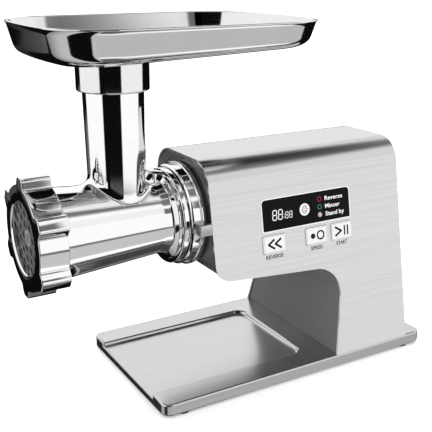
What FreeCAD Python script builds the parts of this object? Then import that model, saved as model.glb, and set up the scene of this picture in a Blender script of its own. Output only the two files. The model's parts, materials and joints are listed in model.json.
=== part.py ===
import FreeCAD, Part
import math
import os
import re
import Sketcher

# An electric meat grinder: a base plate, a bridge-shaped motor housing with a control panel on its -Y
# side, and a horizontal grinding head with a feed throat and a food tray.
# Frame: origin on the ground under the middle of the whole object, +Z up, +X from the ring nut to the
# motor end, millimetres.

os.makedirs("parts", exist_ok=True)
doc = FreeCAD.newDocument("meat_grinder")
V = FreeCAD.Vector

# ---------------------------------------------------------------------------------------------------
# Driving dimensions
# ---------------------------------------------------------------------------------------------------
DIMENSIONS = {
    # base
    "base_left": -99.4, "base_right": 184.0, "base_half": 78.0, "base_thick": 11.0, "foot_high": 2.0,
    "base_corner": 8.0, "recess_end": 56.0, "recess_half": 53.7, "recess_deep": 3.4,
    "cover_left": -25.0, "cover_right": 172.0, "cover_half": 64.0, "cover_thick": 2.0, "foot_radius": 9.0,
    # housing
    "front_face": -40.4, "rear_face": 163.6, "house_top": 203.0, "side_taper": 0.1786, "top_round": 24.0,
    "sheet": 2.0, "panel_inset": 1.2, "panel_thick": 2.0, "under_front": 104.0, "under_slope": 0.0687,
    "leg_foot": 79.1, "leg_lean": 0.165, "nose_round": 15.0, "arch_round": 27.0, "panel_split": -20.0,
    # control panel, measured along the sloping side from the base's top edge
    "window_left": 9.3, "window_right": 103.9, "window_low": 127.6, "window_high": 155.0,
    "window_round": 2.5, "window_thick": 2.4, "proud": 0.4, "button_wide": 23.0, "button_tall": 15.5,
    "button_round": 1.6, "button_proud": 1.4, "button_mid": 116.1, "button_gap": 0.35, "button_thick": 4.0,
    "button_one": 19.0, "button_two": 64.5, "button_three": 92.9, "board_deep": 11.0,
    # grinding head, turned about the drive axis
    "axis_high": 150.0, "ring_front": -184.0, "ring_long": 24.0, "ring_radius": 43.6, "lobe_radius": 51.0,
    "lobe_half": 5.0, "lobe_flare": 9.5, "ring_mouth": 30.6, "ring_lip": 4.0, "thread_radius": 39.2,
    "thread_play": 0.08, "plate_radius": 35.0, "plate_thick": 7.0, "plate_play": 0.3, "pin_radius": 4.5,
    "barrel_front": -176.5, "barrel_fat": 38.2, "barrel_slim": 31.6, "barrel_waist": -72.0,
    "barrel_bore": 28.0, "flange_radius": 42.0, "flange_front": -60.0, "flange_thick": 5.2,
    "spigot_radius": 34.4, "spigot_long": 18.0, "spigot_play": 0.05,
    "throat_x": -101.3, "throat_low": 172.0, "throat_high": 273.0, "throat_wide": 24.9,
    "throat_narrow": 23.5, "throat_bore": 21.0, "web_half": 2.2, "auger_radius": 27.2,
    "auger_core": 10.5, "auger_pitch": 24.0, "flight_thick": 5.5, "square_half": 6.0,
    # tray
    "tray_x": -57.0, "tray_long": 232.0, "tray_wide": 178.0, "tray_round": 45.0, "tray_rim": 316.4,
    "tray_deep": 28.4, "tray_rise": 9.0, "tray_wall": 1.2, "tray_draft": 7.0, "tray_turn": -0.6,
    "tray_floor_round": 13.0,
    "collar_radius": 29.65,
    "collar_low": 262.6, "collar_play": 0.35,
    # socket and lock ring
    "socket_outer": 39.4, "socket_front": -54.2, "socket_flange": 46.0, "lock_radius": 44.2,
    "lock_front": -53.6, "lock_rear": -41.2, "lock_play": 0.08, "tab_reach": 56.5, "tab_half": 5.0,
    # gear train
    "case_front": -31.5, "case_rear": 16.0, "case_wall": 8.0, "lay_turn": 50.0,
    "gear_space": 28.0, "case_low_radius": 30.0, "case_high_radius": 26.6, "cover_wall": 8.0,
    "out_teeth": 44, "out_pinion_teeth": 12, "out_module": 1.0, "lay_teeth": 58, "motor_teeth": 12,
    "lay_module": 0.8, "out_gear_left": -22.0, "out_gear_right": -8.0, "lay_gear_left": 2.0,
    "lay_gear_right": 12.0, "out_shaft": 8.0, "lay_shaft": 4.0, "bearing_outer": 14.0, "web_left": -6.0,
    "web_right": -1.0, "backlash": 0.09,
    # motor
    "stator_left": 48.0, "stator_right": 98.0, "stator_outer": 36.0, "stator_bore": 22.6,
    "rotor_radius": 22.0, "motor_shaft": 3.5, "bell_left": 27.0, "bell_right": 124.0, "bell_outer": 38.0,
    "bell_wall": 2.5, "commutator_radius": 11.0, "commutator_left": 107.0, "commutator_right": 119.0,
    "fan_left": 128.0, "fan_right": 139.0, "fan_radius": 30.0, "motor_bearing": 10.0,
}
sheet = doc.addObject("Spreadsheet::Sheet", "Dims")
for row, (alias, value) in enumerate(DIMENSIONS.items(), start=1):
    sheet.set(f"A{row}", alias)
    sheet.set(f"B{row}", str(value))
    sheet.setAlias(f"B{row}", alias)
doc.recompute()


def size(alias):
    """The number that a cell of the sheet holds."""
    return float(getattr(sheet, alias))


def expression(text):
    """A FreeCAD expression in which every alias is read from the sheet."""
    return re.sub(r"[a-z_]+", lambda word: "Dims." + word[0] if word[0] in DIMENSIONS else word[0], str(text))


def bind(thing, **sizes):
    for name, text in sizes.items():
        thing.setExpression(name.replace("__", "."), expression(text))
    return thing


# ---------------------------------------------------------------------------------------------------
# Ways of making a sub-part
# ---------------------------------------------------------------------------------------------------
TURN = {
    "Z": FreeCAD.Rotation(),
    "X": FreeCAD.Rotation(V(0, 1, 0), 90),
    "Y": FreeCAD.Rotation(V(1, 0, 0), -90),
}
SLOPE = math.degrees(math.atan(size("side_taper")))
PANEL = FreeCAD.Rotation(V(1, 0, 0), 90 - SLOPE)
AXIS_HIGH = "axis_high"
BASE_TOP = "(foot_high + base_thick)"
nodes = []


def node(thing, label):
    """Makes a finished object a named sub-part."""
    thing.Label = label
    nodes.append(thing)
    return thing


def place(thing, x=0, y=0, z=0, turn=TURN["Z"]):
    thing.Placement = FreeCAD.Placement(V(), turn)
    return bind(thing, Placement__Base__x=x, Placement__Base__y=y, Placement__Base__z=z)


def box(name, low, high):
    """A box between two corners, each a list of three expressions."""
    block = doc.addObject("Part::Box", name)
    bind(block, **{side: f"({high[i]}) - ({low[i]})" for i, side in enumerate(("Length", "Width", "Height"))})
    return place(block, *low)


def rod(name, radius, start, end, y=0, z=AXIS_HIGH):
    """A cylinder along X."""
    cylinder = doc.addObject("Part::Cylinder", name)
    bind(cylinder, Radius=radius, Height=f"({end}) - ({start})")
    return place(cylinder, start, y, z, TURN["X"])


def post(name, radius, low, high, x=0, y=0):
    """A cylinder along Z."""
    cylinder = doc.addObject("Part::Cylinder", name)
    bind(cylinder, Radius=radius, Height=f"({high}) - ({low})")
    return place(cylinder, x, y, low)


def cut(name, base, *tools):
    for count, tool in enumerate(tools):
        step = doc.addObject("Part::Cut", f"{name}_cut{count}")
        step.Base, step.Tool = base, tool
        base = step
    return base


def fuse(name, *pieces):
    joined = doc.addObject("Part::MultiFuse", name)
    joined.Shapes = list(pieces)
    return joined


def common(name, first, second):
    shared = doc.addObject("Part::Common", name)
    shared.Base, shared.Tool = first, second
    return shared


def group(label, pieces):
    """Identical pieces that share one node as separate solids."""
    together = doc.addObject("Part::Compound", label)
    together.Links = pieces
    return node(together, label)


def coded(label, shape, placement=FreeCAD.Placement()):
    """A sub-part whose surface no sketch gives: a tooth flank or a screw flight."""
    feature = doc.addObject("Part::Feature", label)
    feature.Shape = shape
    feature.Placement = placement
    return feature


def plane(body, role):
    return next(item for item in body.Origin.OriginFeatures if item.Role == role)


def outline(body, role, name, points, offset=0):
    """A closed sketch of straight lines whose corners are all held by expressions."""
    sketch = body.newObject("Sketcher::SketchObject", name)
    sketch.AttachmentSupport = [(plane(body, role), "")]
    sketch.MapMode = "FlatFace"
    sketch.setExpression("AttachmentOffset.Base.z", expression(offset))
    values = [tuple(evaluate(value) for value in point) for point in points]
    count = len(points)
    for index in range(count):
        a, b = values[index], values[(index + 1) % count]
        sketch.addGeometry(Part.LineSegment(V(*a, 0), V(*b, 0)))
    for index in range(count):
        sketch.addConstraint(Sketcher.Constraint("Coincident", index, 2, (index + 1) % count, 1))
    for index, point in enumerate(points):
        for kind, text, value in zip(("DistanceX", "DistanceY"), point, values[index]):
            held = sketch.addConstraint(Sketcher.Constraint(kind, -1, 1, index, 1, value))
            sketch.setExpression(f"Constraints[{held}]", expression(text))
    return sketch


def evaluate(text):
    """The value of an expression over the sheet, for a sketch's first guess."""
    return float(sheet.evalExpression(re.sub("Dims[.]", "", expression(text))))


def turned(name, profile, y=0, z=AXIS_HIGH):
    """A body turned about an axis along X: its profile lists (x, radius)."""
    body = doc.addObject("PartDesign::Body", name)
    sketch = outline(body, "XZ_Plane", name + "_profile", profile)
    spin = body.newObject("PartDesign::Revolution", name + "_turn")
    spin.Profile = sketch
    spin.ReferenceAxis = (sketch, ["H_Axis"])
    spin.Angle = 360
    body.Tip = spin
    return bind(body, Placement__Base__y=y, Placement__Base__z=z)


def padded(name, role, points, start, length):
    """A body padded from an outline on an origin plane."""
    body = doc.addObject("PartDesign::Body", name)
    sketch = outline(body, role, name + "_outline", points, start)
    pad = body.newObject("PartDesign::Pad", name + "_pad")
    pad.Profile = sketch
    bind(pad, Length=length)
    body.Tip = pad
    return body


def round_edges(body, name, radius, wanted):
    """Fillets the edges of a body's tip that a test of their middle and direction picks."""
    doc.recompute()
    tip = body.Tip
    names = [f"Edge{index}" for index, edge in enumerate(tip.Shape.Edges, start=1)
             if wanted(edge.CenterOfMass, edge.tangentAt(edge.FirstParameter))]
    fillet = body.newObject("PartDesign::Fillet", name)
    fillet.Base = (tip, names)
    bind(fillet, Radius=radius)
    body.Tip = fillet
    return body


def near(value, target, slack=0.5):
    return abs(value - target) < slack


def slot_block(name, left, right, low, high, deep_low, deep_high, corner, y_side=-1):
    """A rounded block on the sloping control side. low and high run up the slope, deep outwards."""
    body = padded(name, "XY_Plane", [(left, low), (right, low), (right, high), (left, high)],
                  deep_low, f"({deep_high}) - ({deep_low})")
    round_edges(body, name + "_corners", corner, lambda middle, way: abs(way.z) > 0.9)
    return place(body, 0, "-base_half", BASE_TOP, PANEL)


# ---------------------------------------------------------------------------------------------------
# Base
# ---------------------------------------------------------------------------------------------------
def flat_rectangle(left, right, half):
    return [(left, f"-({half})"), (right, f"-({half})"), (right, half), (left, half)]


def base():
    """The plate, its top recess that runs out at the head's end, and the cover and feet below."""
    plate = padded("plate_blank", "XY_Plane", flat_rectangle("base_left", "base_right", "base_half"),
                   "foot_high", "base_thick")
    round_edges(plate, "plate_corners", "base_corner", lambda middle, way: abs(way.z) > 0.9)
    tray_cut = padded("plate_recess", "XY_Plane", flat_rectangle("base_left - 1", "recess_end", "recess_half"),
                      f"{BASE_TOP} - recess_deep", "recess_deep + 1")
    round_edges(tray_cut, "recess_corners", 10,
                lambda middle, way: abs(way.z) > 0.9 and near(middle.x, size("recess_end")))
    pocket = box("plate_pocket", ["cover_left", "-cover_half", "foot_high - 1"],
                 ["cover_right", "cover_half", "foot_high + cover_thick + 1.5"])
    cable_way = box("plate_cable_way", ["leg_foot + 25", -30, 0], ["leg_foot + 55", 30, f"{BASE_TOP} + 1"])
    node(cut("base_plate", plate, tray_cut, pocket, cable_way), "base_plate")

    cover = padded("bottom_cover_body", "XY_Plane",
                   flat_rectangle("cover_left + 0.4", "cover_right - 0.4", "cover_half - 0.4"),
                   "foot_high + 0.2", "cover_thick")
    node(cover, "bottom_cover")
    for end, x in (("front", "base_left + 20"), ("rear", "base_right - 20")):
        for side, y in (("near", "-base_half + 7.5"), ("far", "base_half - 7.5")):
            foot = post(f"foot_{end}_{side}", "foot_radius - 3", 0, "foot_high", x, y)
            node(foot, f"foot_{end}_{side}")
    screws = []
    for x in ("cover_left + 6", "cover_right - 6"):
        for y in ("-cover_half + 6", "cover_half - 6"):
            screws.append(post("cover_screw", 2.6, "foot_high - 0.8", "foot_high + 0.2", x, y))
    group("bottom_cover_screws", screws)


# ---------------------------------------------------------------------------------------------------
# Housing
# ---------------------------------------------------------------------------------------------------
def section(name, inset, left, right, drop=0):
    """The housing's A-shaped section run along X. inset is how far it lies inside the outer skin."""
    side = f"(base_half - {inset} / cos({SLOPE:.4f}))"
    top = f"(house_top - {inset})"
    half_top = f"({side} - side_taper * ({top} - {BASE_TOP}))"
    foot = f"({BASE_TOP} - {drop})"
    half_foot = f"({side} + side_taper * {drop})"
    body = padded(name, "YZ_Plane", [(f"-{half_foot}", foot), (half_foot, foot), (half_top, top),
                                     (f"-{half_top}", top)], left, f"({right}) - ({left})")
    top_z = evaluate(top)
    round_edges(body, name + "_shoulders", f"top_round - {inset}",
                lambda middle, way: abs(way.x) > 0.9 and near(middle.z, top_z))
    return body


def under(x, offset=0):
    """Height of the overhang's underside at x, raised by an offset square to it."""
    return f"(under_front - under_slope * ({x} - front_face) + {offset})"


def leg(z, offset=0):
    """Place of the leg's front face at height z, moved back by an offset."""
    return f"(leg_foot + leg_lean * ({z} - {BASE_TOP}) + {offset})"


def knee(offset=0):
    """Corner where the underside, offset upwards, meets the leg's face, offset backwards."""
    x = (f"((leg_foot + {offset} + leg_lean * (under_front + {offset} - {BASE_TOP} + under_slope * front_face))"
         " / (1 + leg_lean * under_slope))")
    return x, under(x, offset)


def bridge(name, grow=0):
    """The housing's side view, a bridge with one leg, padded across the whole width."""
    front = f"(front_face + {grow})"
    knee_x, knee_z = knee(grow)
    points = [(front, "house_top + 5"), (front, under(front, grow)), (knee_x, knee_z),
              (leg(BASE_TOP, grow), f"{BASE_TOP}"), (f"rear_face - {grow}", f"{BASE_TOP}"),
              (f"rear_face - {grow}", "house_top + 5")]
    body = padded(name, "XZ_Plane", points, -100, 200)
    nose_z, knee_value = evaluate(under(front, grow)), evaluate(knee_x)
    front_value = evaluate(front)
    round_edges(body, name + "_nose", f"nose_round - {grow}",
                lambda middle, way: near(middle.x, front_value) and near(middle.z, nose_z))
    round_edges(body, name + "_arch", f"arch_round - {grow}",
                lambda middle, way: abs(way.y) > 0.9 and near(middle.x, knee_value))
    return body


def panel_opening(name, left, right, low, high, gap, corner):
    return slot_block(name, f"({left}) - {gap}", f"({right}) + {gap}", f"({low}) - {gap}",
                      f"({high}) + {gap}", -8, 6, corner)


BUTTONS = {"reverse": "button_one", "mode": "button_two", "start": "button_three"}


def button_sides(middle):
    return (f"{middle} - button_wide / 2", f"{middle} + button_wide / 2",
            "button_mid - button_tall / 2", "button_mid + button_tall / 2")


def housing():
    """The wrapped steel skin, the inset front panel and arch lining, and the rear cover."""
    skin = cut("skin", section("skin_outside", 0, "front_face", "rear_face"),
               section("skin_inside", size("sheet"), "front_face - 5", "rear_face + 5", 10))
    wrap = common("wrap", skin, bridge("wrap_side_view"))
    openings = [panel_opening("window_hole", "window_left", "window_right", "window_low", "window_high",
                              0.15, "window_round")]
    for name, middle in BUTTONS.items():
        openings.append(panel_opening(f"{name}_hole", *button_sides(middle), "button_gap", "button_round"))
    node(cut("housing_wrap", wrap, *openings), "housing_wrap")

    inner = size("sheet") + 0.15
    lining = cut("lining", bridge("lining_outside", size("panel_inset")),
                 bridge("lining_inside", size("panel_inset") + size("panel_thick")))
    front_zone = box("front_zone", ["front_face", -90, "under_front - 20"], ["panel_split", 90, "house_top + 5"])
    front = common("front_strip", lining, front_zone)
    front = common("front_trimmed", front, section("front_limit", inner, "front_face - 5", "panel_split", 10))
    node(cut("front_panel", front, rod("socket_hole", "socket_outer + 0.2", "front_face - 10", "panel_split")),
         "front_panel")

    arch_zone = box("arch_zone", ["panel_split + 0.2", -90, BASE_TOP], ["rear_face - 20", 90, "under_front + 12"])
    arch = common("arch_strip", lining_copy(), arch_zone)
    node(common("arch_lining", arch, section("arch_limit", inner, "front_face - 5", "rear_face + 5")),
         "arch_lining")

    back = section("rear_blank", inner, "rear_face - panel_inset - panel_thick", "rear_face - panel_inset")
    vents = []
    for step in range(9):
        z = 92 + 8 * step
        vents.append(box("rear_vent", ["rear_face - 8", -26, z], ["rear_face + 2", 26, z + 3.2]))
    inlet = box("inlet_hole", ["rear_face - 8", -14.2, 31.8], ["rear_face + 2", 14.2, 52.2])
    node(cut("rear_cover", back, fuse("rear_openings", inlet, *vents)), "rear_cover")
    heads = []
    for y, z in ((-66, 24), (66, 24), (-38, 188), (38, 188)):
        heads.append(rod("rear_screw", 2.8, "rear_face - panel_inset", "rear_face - panel_inset + 1", y, z))
    group("rear_cover_screws", heads)


def lining_copy():
    """The arch lining's strip, cut from its own pair of side views."""
    return cut("arch_shell", bridge("arch_outside", size("panel_inset")),
               bridge("arch_inside", size("panel_inset") + size("panel_thick")))


# ---------------------------------------------------------------------------------------------------
# Control panel
# ---------------------------------------------------------------------------------------------------
def control_panel():
    """Display window, its module, three sprung buttons and their switches on one board."""
    node(slot_block("window", "window_left", "window_right", "window_low", "window_high",
                    "proud - window_thick", "proud", "window_round"), "display_window")
    node(slot_block("module", "window_left + 4", "window_right - 4", "window_low + 2", "window_high - 2",
                    "proud - window_thick - 5", "proud - window_thick - 0.1", 1), "display_module")
    switches = []
    for name, middle in BUTTONS.items():
        left, right, low, high = button_sides(middle)
        cap = slot_block(f"{name}_cap", left, right, low, high, "button_proud - button_thick",
                         "button_proud", "button_round")
        node(cap, f"button_{name}")
        switches.append(slot_block(f"{name}_switch", f"{middle} - 3", f"{middle} + 3", "button_mid - 3",
                                   "button_mid + 3", "-board_deep + 1.7", "button_proud - button_thick - 1.4", 0.5))
    group("button_switches", switches)
    node(slot_block("board", "button_one - 14", "window_right + 2", "button_mid - 12", "window_high + 1",
                    "-board_deep", "-board_deep + 1.6", 1.5), "control_board")


# ---------------------------------------------------------------------------------------------------
# Socket and lock ring
# ---------------------------------------------------------------------------------------------------
def socket():
    bore = "(spigot_radius + spigot_play)"
    inside = "(front_face + panel_inset + panel_thick)"
    ring = turned("socket_ring", [
        ("socket_front", bore), ("socket_front", "socket_outer"), (f"{inside} + 0.1", "socket_outer"),
        (f"{inside} + 0.1", "socket_flange"), (f"{inside} + 5", "socket_flange"), (f"{inside} + 5", bore)])
    nose_room = box("nose_room", [inside, -60, "under_front - 10"], ["case_front", 60, "under_front + nose_round + 1.5"])
    lower_bore = rod("lower_bore", "socket_outer - 1", inside, "case_front")
    node(cut("head_socket", ring, cut("nose_corner", nose_room, lower_bore)), "head_socket")
    hole = "(socket_outer + lock_play)"
    ring = turned("lock_ring_body", [
        ("lock_front", hole), ("lock_front", "lock_radius - 1.5"), ("lock_front + 1.5", "lock_radius"),
        ("lock_rear - 4", "lock_radius"), ("lock_rear - 4", "lock_radius + 1.6"),
        ("lock_rear", "lock_radius + 1.6"), ("lock_rear", hole)])
    tab = box("lock_tab", ["lock_front", "-tab_reach", "axis_high - tab_half"],
              ["lock_rear", "-socket_outer - 2", "axis_high + tab_half"])
    node(fuse("lock_ring", ring, tab), "lock_ring")


# ---------------------------------------------------------------------------------------------------
# Grinding head
# ---------------------------------------------------------------------------------------------------
def cone(name, low_radius, high_radius, low, high, x):
    thing = doc.addObject("Part::Cone", name)
    bind(thing, Radius1=low_radius, Radius2=high_radius, Height=f"({high}) - ({low})")
    return place(thing, x, 0, low)


def head():
    """The casting: barrel, feed throat, rear web and flange, with the spigot that enters the socket."""
    seat = "(plate_radius + plate_play)"
    seat_end = "(barrel_front + plate_thick - 2)"
    spigot_end = "(flange_front + flange_thick + spigot_long)"
    profile = [
        ("barrel_front", 0), ("barrel_front", "thread_radius - thread_play"),
        ("ring_front + ring_long - 1", "thread_radius - thread_play"),
        ("ring_front + ring_long + 2", "barrel_fat"), ("barrel_waist", "barrel_slim"),
        ("flange_front - 4", "barrel_slim + 1"), ("flange_front", "flange_radius - 4"),
        ("flange_front", "flange_radius"), ("flange_front + flange_thick", "flange_radius"),
        ("flange_front + flange_thick", "spigot_radius"), (spigot_end, "spigot_radius"), (spigot_end, 0)]
    barrel = turned("barrel", profile)
    throat_cone = cone("throat_cone", "throat_narrow", "throat_wide", "throat_low", "collar_low - 3",
                       "throat_x")
    throat_top = post("throat_top", "throat_wide", "collar_low - 3", "throat_high", "throat_x")
    web = padded("web", "XZ_Plane", [
        ("throat_x", "axis_high + 20"), ("flange_front - 0.1", "axis_high + 20"),
        ("flange_front - 0.1", "axis_high + flange_radius - 0.6"), ("flange_front - 7", "axis_high + flange_radius + 0.4"),
        ("throat_x + throat_wide + 1.8", "axis_high + flange_radius + 3"),
        ("throat_x + throat_wide + 1.2", "axis_high + 94"), ("throat_x", "axis_high + 96")],
        "-web_half", "2 * web_half")
    web_slot = box("web_slot", ["flange_front - 14.4", -10, "axis_high + 28"],
                   ["flange_front - 8.2", 10, "axis_high + flange_radius - 2"])
    chamber = turned("chamber", [
        ("barrel_front - 1", 0), ("barrel_front - 1", seat), (seat_end, seat), (seat_end, "barrel_bore"),
        ("flange_front - 2", "barrel_bore"), ("flange_front - 2", 12.5), (f"{spigot_end} + 1", 12.5),
        (f"{spigot_end} + 1", 0)])
    relief = turned("spigot_relief", [
        ("flange_front + 1", 15.5), ("flange_front + 1", "spigot_radius - 3.5"),
        (f"{spigot_end} + 1", "spigot_radius - 3.5"), (f"{spigot_end} + 1", 15.5)])
    mouth = post("barrel_mouth", "throat_bore + 0.6", AXIS_HIGH, "throat_low + 15", "throat_x")
    node(cut("head_casting", barrel, chamber, mouth, relief), "head_casting")

    throat_root = post("throat_root", "throat_narrow + 1.5", AXIS_HIGH, "throat_low + 4", "throat_x")
    tube = fuse("throat_solid", throat_cone, throat_top, throat_root, web)
    barrel_room = turned("barrel_room", profile)
    throat_bore = post("throat_hole", "throat_bore", "throat_low + 10", "throat_high + 1", "throat_x")
    throat_mouth = post("throat_mouth", "throat_bore + 0.6", AXIS_HIGH, "throat_low + 15", "throat_x")
    node(cut("feed_throat", tube, barrel_room, throat_bore, throat_mouth, web_slot), "feed_throat")

    plate = rod("plate_disc", "plate_radius", "barrel_front - 3.2", f"{seat_end} - 0.2")
    node(cut("grinding_plate", plate, plate_holes()), "grinding_plate")
    node(turned("plate_bush", [("barrel_front - 3.2", "pin_radius + 0.08"), ("barrel_front - 3.2", "pin_radius + 2.0"),
                               (f"{seat_end} - 0.2", "pin_radius + 2.0"), (f"{seat_end} - 0.2", "pin_radius + 0.08")]),
         "plate_bush")


def plate_holes():
    """The bush's hole and three rings of mincing holes."""
    tools = [rod("bush_hole", "pin_radius + 2.0", "barrel_front - 5", "barrel_front + plate_thick")]
    for ring, (count, radius) in enumerate(((6, 11.5), (12, 19.5), (18, 27.6))):
        for index in range(count):
            angle = 2 * math.pi * (index + 0.5 * (ring % 2)) / count
            tools.append(rod("mince_hole", 3.1, "barrel_front - 5", "barrel_front + plate_thick",
                             round(radius * math.cos(angle), 4), f"axis_high + {radius * math.sin(angle):.4f}"))
    return fuse("plate_hole_tools", *tools)


def ring_nut():
    """A turned ring with six flared lobes."""
    rear = "(ring_front + ring_long)"
    body = turned("ring_nut_body", [
        ("ring_front", "ring_mouth"), ("ring_front", "ring_radius - 1"), ("ring_front + 1", "ring_radius"),
        (rear, "ring_radius"), (rear, "thread_radius"), ("ring_front + ring_lip", "thread_radius"),
        ("ring_front + ring_lip", "ring_mouth")])
    lobe = outline(body, "YZ_Plane", "lobe_outline", [
        ("-lobe_flare", "ring_radius - 2"), ("lobe_flare", "ring_radius - 2"),
        ("lobe_half", "ring_radius + 3"), ("lobe_half - 0.8", "lobe_radius"),
        ("0.8 - lobe_half", "lobe_radius"), ("-lobe_half", "ring_radius + 3")], "ring_front")
    pad = body.newObject("PartDesign::Pad", "lobe_pad")
    pad.Profile = lobe
    bind(pad, Length="ring_long")
    pattern = body.newObject("PartDesign::PolarPattern", "lobes")
    pattern.Originals = [pad]
    pattern.Axis = (plane(body, "X_Axis"), [""])
    pattern.Angle = 360
    pattern.Occurrences = 6
    body.Tip = pattern
    node(body, "ring_nut")


def flight(left, right, pitch, radius, core, thick):
    """A screw flight: a strip swept along a helix about X."""
    turns_long = right - left
    path = Part.makeHelix(pitch, turns_long, core + 4)
    strip = Part.makePolygon([V(core - 2, 0, -thick / 2), V(radius, 0, -thick / 3), V(radius, 0, thick / 3),
                              V(core - 2, 0, thick / 2), V(core - 2, 0, -thick / 2)])
    swept = Part.Wire(path.Edges).makePipeShell([strip], True, True)
    swept.rotate(V(0, 0, 0), V(0, 1, 0), 90)
    swept.translate(V(left, 0, size("axis_high")))
    return swept


def auger():
    """The screw: core, flight, square tail that the drive turns, square nose for the blade, end pin."""
    high = size("axis_high")
    left = size("barrel_front") + size("plate_thick") + 7
    right = size("flange_front") - 8
    core = Part.makeCone(size("auger_core"), size("auger_core") + 3, right - left, V(left, 0, high), V(1, 0, 0))
    blades = flight(left + 4, right - 6, size("auger_pitch"), size("auger_radius"), size("auger_core"),
                    size("flight_thick"))
    journal = Part.makeCylinder(12.42, size("flange_front") + 14.0 - right, V(right, 0, high), V(1, 0, 0))
    half = size("square_half")
    tail_start = size("flange_front") + 12
    tail = Part.makeBox(15.0, 2 * half, 2 * half, V(tail_start, -half, high - half))
    nose = Part.makeBox(left - size("barrel_front") - 5.2, 2 * half - 1, 2 * half - 1,
                        V(size("barrel_front") + 5.2, 0.5 - half, high + 0.5 - half))
    pin = Part.makeCylinder(size("pin_radius"), left - size("barrel_front") + 3.4,
                            V(size("barrel_front") - 3.4, 0, high), V(1, 0, 0))
    node(coded("auger", core.fuse([blades, journal, tail, nose, pin]).removeSplitter()), "auger")


def blade():
    """A four-armed cutter on the auger's square nose."""
    left = "(barrel_front + plate_thick - 2 + 0.2)"
    right = f"({left} + 6)"
    arms = []
    for index in range(4):
        arm = box(f"arm{index}", [left, -3.5, -3], [right, 25, 3.6])
        arm.Placement = FreeCAD.Placement(V(), FreeCAD.Rotation(V(1, 0, 0), 90 * index))
        bind(arm, Placement__Base__x=left, Placement__Base__z=f"axis_high + ({(-3.5, -3.3, 3.5, 3.3)[index]})",
             Placement__Base__y=(-3.0, 3.5, 3.0, -3.5)[index])
        arms.append(arm)
    hub = rod("blade_hub", 10.5, left, right)
    hole = box("blade_square", [f"{left} - 1", "0.45 - square_half", "axis_high + 0.45 - square_half"],
               [f"{right} + 1", "square_half - 0.45", "axis_high + square_half - 0.45"])
    node(cut("cutter_blade", fuse("blade_solid", hub, *arms), hole), "cutter_blade")


# ---------------------------------------------------------------------------------------------------
# Tray
# ---------------------------------------------------------------------------------------------------
def rounded_rectangle(body, name, half_long, half_wide, corner, level):
    """A sketch of four lines and four tangent arcs about the origin."""
    sketch = body.newObject("Sketcher::SketchObject", name)
    sketch.AttachmentSupport = [(plane(body, "XY_Plane"), "")]
    sketch.MapMode = "FlatFace"
    sketch.setExpression("AttachmentOffset.Base.z", expression(level))
    radius = evaluate(corner)
    for quarter, (right, up) in enumerate(((1, 1), (-1, 1), (-1, -1), (1, -1))):
        middle = V(right * (evaluate(half_long) - radius), up * (evaluate(half_wide) - radius), 0)
        start = math.pi / 2 * quarter
        sketch.addGeometry(Part.ArcOfCircle(Part.Circle(middle, V(0, 0, 1), radius), start, start + math.pi / 2))
        held = sketch.addConstraint(Sketcher.Constraint("DistanceX", -1, 1, quarter, 3, middle.x))
        sketch.setExpression(f"Constraints[{held}]", expression(f"{right} * ({half_long} - {corner})"))
        held = sketch.addConstraint(Sketcher.Constraint("DistanceY", -1, 1, quarter, 3, middle.y))
        sketch.setExpression(f"Constraints[{held}]", expression(f"{up} * ({half_wide} - {corner})"))
        held = sketch.addConstraint(Sketcher.Constraint("Radius", quarter, radius))
        sketch.setExpression(f"Constraints[{held}]", expression(corner))
    for quarter in range(4):
        first, second = sketch.getPoint(quarter, 2), sketch.getPoint((quarter + 1) % 4, 1)
        line = sketch.addGeometry(Part.LineSegment(first, second))
        sketch.addConstraint(Sketcher.Constraint("Tangent", quarter, 2, line, 1))
        sketch.addConstraint(Sketcher.Constraint("Tangent", line, 2, (quarter + 1) % 4, 1))
    return sketch


def rounded_pan(name, inset, lift):
    """A tapered pan blank about the tray's middle, whose floor is cut to rise away from the throat."""
    body = doc.addObject("PartDesign::Body", name)
    shrink = f"({inset} + tray_draft * (1 - {lift} / tray_deep))"
    floor = f"(tray_rim - tray_deep + {lift})"
    sketch = rounded_rectangle(body, name + "_floor_line", f"(tray_long / 2 - {shrink})",
                               f"(tray_wide / 2 - {shrink})", f"(tray_round - {shrink})", floor)
    pad = body.newObject("PartDesign::Pad", name + "_pad")
    pad.Profile = sketch
    bind(pad, Length="tray_deep", TaperAngle="atan(tray_draft / tray_deep)")
    end = "(tray_long / 2 + 5)"
    below = outline(body, "XZ_Plane", name + "_floor_slope", [
        (f"-{end}", f"{floor} - 5"), (end, f"{floor} - 5"), (end, f"{floor} + tray_rise"), (f"-{end}", floor)])
    pocket = body.newObject("PartDesign::Pocket", name + "_slope")
    pocket.Profile = below
    pocket.Type = "ThroughAll"
    pocket.Midplane = True
    body.Tip = pocket
    low, reach = evaluate(floor), evaluate(end)
    round_edges(body, name + "_floor", "tray_floor_round", lambda middle, way: near(
        middle.z, low + size("tray_rise") * (middle.x + reach) / (2 * reach)))
    return place(body, "tray_x", 0, 0, FreeCAD.Rotation(V(0, 0, 1), size("tray_turn")))


def tray():
    """A pan with a feed hole, and the collar under it that drops over the throat."""
    sleeve_top = "(tray_rim - tray_deep + tray_rise)"
    outer = rounded_pan("pan_outside", 0, 0)
    inner = rounded_pan("pan_inside", "tray_wall", "tray_wall")
    hole = post("pan_hole", "throat_bore", "collar_low", "tray_rim", "throat_x")
    node(cut("tray", outer, inner, hole), "tray")
    hole = "(throat_wide + collar_play)"
    sleeve = cut("sleeve", post("sleeve_outside", "collar_radius", "collar_low", sleeve_top, "throat_x"),
                 post("sleeve_hole", hole, "collar_low - 1", "throat_high + 0.5", "throat_x"),
                 post("sleeve_way", "throat_bore", "throat_high", f"{sleeve_top} + 1", "throat_x"),
                 rounded_pan("pan_room", 0, 0))
    node(sleeve, "tray_collar")


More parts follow.
